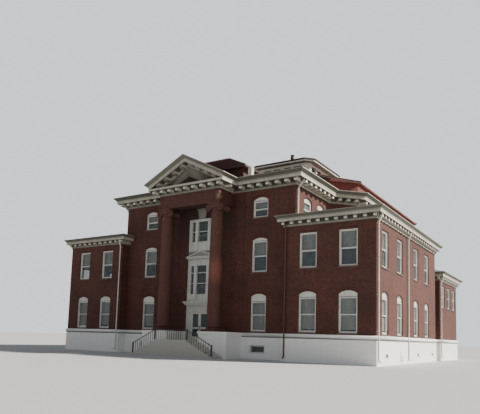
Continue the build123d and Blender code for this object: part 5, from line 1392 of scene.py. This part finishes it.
    def caps(self, shell: Shell, start: Array, end: Array) -> None:
        """Adds the half round caps along a hip or ridge.

        The section is a half circle over a flat foot; its radius is a saw along the line,
        greatest at each cap's lower end.

        Args:
            shell: What the caps are added to.
            start: Lower end of the line.
            end: Upper end of the line.
        """
        length = float(np.linalg.norm(end - start))
        line = (end - start) / length
        side = np.cross(line, [0.0, 0.0, 1.0])
        side /= np.linalg.norm(side)
        count = max(1, int(round(length / self.cap_length)))
        at = np.repeat(np.linspace(0, length, count + 1), 2)[1:-1, None, None]
        radius = np.tile([self.cap, self.cap * 0.84], count)[:, None, None]
        turns = np.linspace(0, pi, 9)
        ring = np.vstack([np.stack([np.cos(turns), np.sin(turns)], axis=1),
                          [[-1.0, -0.55], [1.0, -0.55]]])
        shell.carried(start + at * line + radius * (ring @ [side, np.cross(side, line)]))


@dataclass
class EaveTiles:
    """Ends of the lowest tiles along the edge of a roof, seen from below as a row of teeth.

    size is each end's, and board how much longer than its side, how deep and how tall a board is.
    """

    node: str
    level: float
    pitch: float = 0.150
    size: tuple = (0.105, 0.120, 0.170)
    out: float = 0.012
    drop: float = 0.03
    board: tuple = (0.04, 0.13, 0.05)
    board_rise: float = 0.035

    def build(self, frame: dict) -> None:
        """Makes one tile end at each step of the eave, and a board over those of each side.

        Args:
            frame: The loaded model.
        """
        places = corner_places(frame["nodes"][self.node].data)
        ring = places[np.abs(places[:, 2] - self.level) < 0.02, :2]
        ring = np.unique(np.round(ring, 3), axis=0)
        ring = ring[np.argsort(np.arctan2(*(ring - ring.mean(axis=0)).T[::-1]))]
        shell = Shell()
        for start, end in zip(ring, np.roll(ring, -1, axis=0)):
            length = float(np.linalg.norm(end - start))
            count = int(length / self.pitch)
            if count < 2:
                continue
            line = (end - start) / length
            away = np.array([line[1], -line[0]])
            share = (np.arange(count) + 0.5) / count
            flat = start + share[:, None] * (end - start) + away * self.out
            axes = np.array([[*line, 0], [*away, 0], [0, 0, 1]])
            shell.boxes(np.insert(flat, 2, self.level - self.drop, axis=1), axes, self.size)
            shell.boxes([*(start + end) / 2, self.level + self.board_rise], axes,
                        [length + self.board[0], *self.board[1:]])
        shell.piece(f"{self.node}_eave_tiles", RIDGE, "roof_tile")


# Small fittings


@dataclass
class DoorDress:
    """Beads round the panes of one door leaf; panes are the heights of the glass."""

    side: int
    body: str
    wall: Wall = Wall(0.0, -12.765, 0)
    edges: tuple = (0.135, 0.735)
    panes: tuple = ((1.610, 2.250), (2.380, 3.490))

    def build(self) -> None:
        """Makes the beads."""
        shell = Shell()
        profile = np.array([[0, -0.002], [0, 0.010], [-0.012, 0.014], [-0.026, 0.004],
                            [-0.026, -0.002]])
        left, right = self.edges
        for low, high in self.panes:
            ring = swept(rectangle((right - left) / 2, low, high) + [(left + right) / 2, 0],
                         profile, True)
            shell.carried(self.wall.on_wall(ring * [self.side, 1, 1]), closed=True)
        shell.piece(f"door_beads_{self.body.removesuffix('_leaf')}", SASH, "trim_paint",
                    body=self.body)


@dataclass(frozen=True)
class Pipe(Wall):
    """A downspout on the right half: its wall and heights.

    soffit and reach say where its bent head leaves the cornice.
    """

    bottom: float = 0.2
    frieze: float = 9.911
    soffit: float = 10.270
    reach: float = 0.33
    shoe: bool = True


@dataclass
class Downspouts:
    """Painted downspouts with bent heads, straps and shoes."""

    width: float = 0.100
    depth: float = 0.080
    stand: float = 0.110
    squareness: float = 0.35
    strap: tuple = (0.13, 0.160, 0.045)
    strap_out: float = 0.078
    strap_foot: float = 2.01
    pipes: tuple = (
        Pipe(15.470, -13.595, 90), Pipe(15.470, -6.395, 90), Pipe(8.635, -13.795, 0),
        Pipe(15.470, 4.905, 90, 0.2, 7.685, 8.044),
        Pipe(8.895, -12.715, 90, 10.926, 13.390, 13.800, 0.55, False),
    )

    def build(self) -> None:
        """Makes every downspout; the one in the right wing's inner corner is brick red."""
        white, red = Shell(), Shell()
        for pipe in self.pipes:
            for side in (1, -1):
                inner = pipe.turn == 0 and side > 0
                self.pipe(red if inner else white, pipe, side)
        white.piece("white_downspouts", TRIM, "trim_paint", ("downspouts",), smooth=50)
        red.piece("red_downspout", BRICK_PAINT, "trim_paint", ("downspouts",), smooth=50)

    def pipe(self, shell: Shell, pipe: Pipe, side: int) -> None:
        """Adds a pipe: a rounded square carried along its bends, with straps.

        The section's corner at turn a is (w/2 |cos a|^q, d/2 |sin a|^q), each on the side of
        zero where its cosine or sine lies, and q says how square it is.

        Args:
            shell: What the pipe is added to.
            pipe: Its place and heights.
            side: 1 on the right half of the building, -1 on the left one.
        """
        wall = Wall(side * pipe.x, pipe.y, side * pipe.turn)
        end = ([self.stand + 0.15, pipe.bottom + 0.04] if pipe.shoe
               else [self.stand, pipe.bottom])
        path = np.array([[pipe.reach, pipe.soffit + 0.02], [pipe.reach, pipe.soffit - 0.10],
                         [self.stand, pipe.frieze - 0.22], [self.stand, pipe.bottom + 0.14], end])
        turns = 2 * pi * (np.arange(16) + 0.5) / 16
        across, deep = (size / 2 * np.sign(wave) * np.abs(wave) ** self.squareness
                        for size, wave in ((self.width, np.cos(turns)),
                                           (self.depth, np.sin(turns))))
        ring = swept(path, np.stack([deep, across], axis=1))
        shell.carried(wall.on_wall(ring[..., [1, 0, 2]]))
        straps = np.zeros((4, 3))
        straps[:, 1] = self.strap_out
        straps[:, 2] = np.linspace(pipe.frieze - 0.32, max(pipe.bottom, self.strap_foot) + 0.3, 4)
        shell.boxes(wall.on_wall(straps), wall.axes(), self.strap)


@dataclass
class RakingFrieze:
    """Painted band that frames the brick of the pediment, darkened as painted shade."""

    slope: float = 0.4964
    apex: float = 15.525
    floor: float = 13.970
    face: float = -14.835

    def build(self) -> None:
        """Makes the band: a moulded profile carried up one rake and down the other.

        A line at distance d inside the rake's edge meets the floor at half - d / sin a and the
        middle at apex - d / cos a, where a is the rake's angle.
        """
        run = 1 / np.hypot(1, self.slope)
        step, out = np.array([[-0.02, -0.02], [-0.02, 0.11], [0.03, 0.10], [0.09, 0.05],
                              [0.12, 0.04], [0.56, 0.04], [0.58, 0.09], [0.64, 0.09],
                              [0.68, 0.03], [0.70, -0.02]]).T
        foot = (self.apex - self.floor) / self.slope - step / (self.slope * run)
        level = np.full(len(step), self.floor)
        shell = Shell()
        shell.carried(np.stack([np.stack([x, self.face - out, z], axis=1) for x, z in
                                ((foot, level), (0 * foot, self.apex - step / run),
                                 (-foot, level))]))
        shell.piece("raking_frieze", SHADED_FRIEZE, "trim_paint")


@dataclass
class FoundationLedge:
    """Projecting band along the top of the painted foundations; run is its right half."""

    run: tuple = ((4.330, -12.955), (8.395, -12.955), (8.395, -13.855), (15.530, -13.855),
                  (15.530, 2.895), (10.810, 2.895), (10.810, 4.645), (15.530, 4.645),
                  (15.530, 12.565), (10.810, 12.565), (10.810, 13.575), (8.920, 15.465),
                  (0.0, 15.465))

    def build(self) -> None:
        """Makes the band, a profile of steps out and up, on both halves, with a painted shadow
        line below.
        """
        profile = np.array([[-0.02, 1.67], [0.010, 1.67], [0.016, 1.75], [0.048, 1.77],
                            [0.048, 1.98], [0.030, 2.0], [-0.02, 2.0]])
        shell = Shell()
        for side in (1, -1):
            ring = swept(np.array(self.run) * [side, 1], profile * [-side, 1])
            shell.carried(ring[..., [0, 2, 1]])
        shell.piece("foundation_ledge", LEDGE, "painted_base")


@dataclass
class Hatch:
    """Painted hatch in the side foundation of each wing."""

    wall: float = 15.530
    y: float = -8.05
    foot: float = 0.16
    width: float = 0.78
    tall: float = 0.86

    def build(self) -> None:
        """Makes the leaves, their frames and their hinges."""
        shell, metal = Shell(), Shell()
        profile = np.array([[0.03, -0.002], [0.03, 0.022], [0.02, 0.030], [-0.03, 0.030],
                            [-0.04, 0.022], [-0.04, -0.002]])
        middle = self.foot + self.tall / 2
        fittings = [[0.26, 0.03, middle + 0.22], [-0.26, 0.03, middle + 0.22],
                    [0.0, 0.026, middle - 0.04]]
        for side in (1, -1):
            wall = Wall(side * self.wall, self.y, side * 90)
            shell.boxes(wall.on_wall([0, 0, middle]), wall.axes(),
                        [self.width, 0.036, self.tall])
            ring = swept(rectangle(self.width / 2, self.foot, self.foot + self.tall), profile,
                         True)
            shell.carried(wall.on_wall(ring), closed=True)
            metal.boxes(wall.on_wall(fittings), wall.axes(),
                        [[0.10, 0.014, 0.03], [0.10, 0.014, 0.03], [0.05, 0.02, 0.10]])
        shell.piece("foundation_hatches", BASE, "painted_base")
        metal.piece("foundation_hatch_fittings", IRON, "dark_iron")


@dataclass
class LanternVent:
    """Small square vent near the front edge of the lantern's roof."""

    x: float = 1.30
    y: float = 0.80
    side: float = 0.30
    foot: float = 20.55
    top: float = 21.36

    def build(self) -> None:
        """Makes the shaft, its louvre gap and its cap as squares of shares of the side."""
        shares = np.array([0.50, 0.50, 0.42, 0.42, 0.62, 0.62, 0.30])
        drops = np.array([self.top - self.foot, 0.20, 0.19, 0.11, 0.10, 0.05, 0.0])
        shell = Shell()
        shell.squares(shares * self.side, self.top - drops, self.x, self.y)
        shell.piece("lantern_vent", RIDGE, "roof_metal")


@dataclass
class Vents:
    """Grilles in the painted foundations of the wings."""

    wall: float = 15.530
    ys: tuple = (-11.7, -3.5, 1.3)
    height: float = 0.66
    width: float = 0.42
    tall: float = 0.24
    louvres: int = 7
    louvre_tilt: float = -40.0
    blade: tuple = (0.42, 0.016, 0.018)
    # Dark plate behind the louvres: a painted shade of the hollow behind the grille.
    back: tuple = (0.42, 0.006, 0.24)

    def build(self) -> None:
        """Makes the frames and louvres, each grille with a dark back, a painted shade of its
        hollow.
        """
        frames, louvres = Shell(), Shell()
        profile = np.array([[0, -0.002], [0, 0.014], [-0.008, 0.018], [-0.03, 0.012],
                            [-0.03, -0.002]])
        path = rectangle(self.width / 2, self.height - self.tall / 2,
                         self.height + self.tall / 2)
        places = np.zeros((self.louvres, 3))
        places[:, 1] = 0.004
        steps = np.arange(self.louvres) - (self.louvres - 1) / 2
        places[:, 2] = self.height + steps * self.tall / self.louvres
        for side in (-1, 1):
            for y in self.ys:
                wall = Wall(side * self.wall, y, side * 90)
                frames.carried(wall.on_wall(swept(path, profile, True)), closed=True)
                louvres.boxes(wall.on_wall(places), wall.tilted(self.louvre_tilt), self.blade)
                # Painted shade: the dark plate behind the louvres.
                louvres.boxes(wall.on_wall([0, 0.001, self.height]), wall.axes(), self.back)
        frames.piece("foundation_vent_frames", BASE, "painted_base")
        louvres.piece("foundation_vent_louvres", IRON, "dark_iron")


# Stage, lights and camera


def staged(name: str, data: bpy.types.ID) -> bpy.types.Object:
    """Puts a mesh, a light or a camera into the scene."""
    made = bpy.data.objects.new(name, data)
    bpy.context.scene.collection.objects.link(made)
    return made


@dataclass(frozen=True)
class Viewpoint:
    """The camera of the photograph."""

    place: tuple = (26.890, -47.756, 1.600)
    yaw: float = 0.5807
    pitch: float = 0.1074
    roll: float = 0.0308
    lens: float = 39.25
    sensor: float = 36.0
    shift: float = 0.155
    far: float = 1000.0

    def build(self) -> None:
        """Makes the camera, level turns first, then its small roll."""
        forward = Vector((-sin(self.yaw) * cos(self.pitch), cos(self.yaw) * cos(self.pitch),
                          sin(self.pitch)))
        right = Vector((cos(self.yaw), sin(self.yaw), 0.0))
        upward = right.cross(forward)
        across = cos(self.roll) * right + sin(self.roll) * upward
        above = cos(self.roll) * upward - sin(self.roll) * right
        turn = Matrix((across, above, -forward)).transposed().to_4x4()
        data = bpy.data.cameras.new("photo_camera")
        data.lens = self.lens
        data.sensor_width = self.sensor
        data.shift_y = self.shift
        data.clip_end = self.far
        camera = staged("photo_camera", data)
        camera.matrix_world = Matrix.Translation(Vector(self.place)) @ turn
        bpy.context.scene.camera = camera


@dataclass(frozen=True)
class Studio:
    """Plain pale floor, pale surroundings and soft lights."""

    reach: float = 600.0
    floor: Tint = (190, 190, 190)
    floor_roughness: float = 0.9
    air: Tint = (226, 231, 238)
    sky: float = 1.4
    fill: float = 0.42
    key: float = 8.8
    key_width: float = 4.0
    key_turn: float = 30.0
    key_height: float = 36.0
    key_colour: tuple = (1.0, 0.95, 0.87)

    def build(self) -> None:
        """Makes the floor, the surroundings and the key light."""
        mesh = bpy.data.meshes.new("studio_floor")
        mesh.from_pydata([(x * self.reach, y * self.reach, 0) for x, y in SQUARE.tolist()], [],
                         [(0, 1, 2, 3)])
        material = bpy.data.materials.new("studio_floor")
        material.use_nodes = True
        shader = material.node_tree.nodes["Principled BSDF"]
        shader.inputs["Base Color"].default_value = shade(self.floor)
        shader.inputs["Roughness"].default_value = self.floor_roughness
        mesh.materials.append(material)
        staged("studio_floor", mesh)
        world = bpy.data.worlds.new("studio")
        world.use_nodes = True
        bench = Bench(world.node_tree)
        seen = bench.put("LightPath").outputs["Is Camera Ray"]
        back = world.node_tree.nodes["Background"]
        back.inputs["Color"].default_value = shade(self.air)
        world.node_tree.links.new(bench.span(seen, 0.0, 1.0, self.fill, self.sky),
                                  back.inputs["Strength"])
        bpy.context.scene.world = world
        lamp = bpy.data.lights.new("key_light", "SUN")
        lamp.energy = self.key
        lamp.angle = radians(self.key_width)
        lamp.color = self.key_colour
        turn, height = radians(self.key_turn), radians(self.key_height)
        towards = Vector((cos(height) * cos(turn), cos(height) * sin(turn), sin(height)))
        staged("key_light", lamp).rotation_euler = towards.to_track_quat("Z", "Y").to_euler()


def dress(frame: dict) -> None:
    """Gives every CAD node its finish, or that of its slot.

    Args:
        frame: The loaded model.
    """
    slots = {part["node"]: part["material_slot"] for part in frame["record"]["subparts"]}
    for name, solid in frame["nodes"].items():
        finish = FINISH_OF_NODE.get(name) or FINISH_OF_SLOT[slots[name]]
        solid.data.materials.clear()
        solid.data.materials.append(finish.make())
    LOG.info("dressed %d nodes", len(frame["nodes"]))


def main() -> None:
    """Loads the frame and builds every sub-assembly in order."""
    logging.basicConfig(level=logging.INFO, format="%(message)s")
    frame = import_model()
    Viewpoint().build()
    Studio().build()
    dress(frame)
    Windows().build()
    Colonnade().build()
    TileRoof("hall_roof", HALL_HIPS).build(frame)
    TileRoof("crown_roof", CROWN_HIPS, width=0.25, gauge=0.30, cap=0.10,
             finish=SHADED_CROWN_TILE).build(frame)
    TileRoof("lantern_roof", LANTERN_HIPS, cap=0.10, limit=21.441).build(frame)
    DoorDress(-1, "left_leaf").build()
    DoorDress(1, "right_leaf").build()
    Vents().build()
    Downspouts().build()
    RakingFrieze().build()
    EaveTiles("lantern_roof", 20.590).build(frame)
    FoundationLedge().build()
    Hatch().build()
    LanternVent().build()


if __name__ == "__main__":
    main()
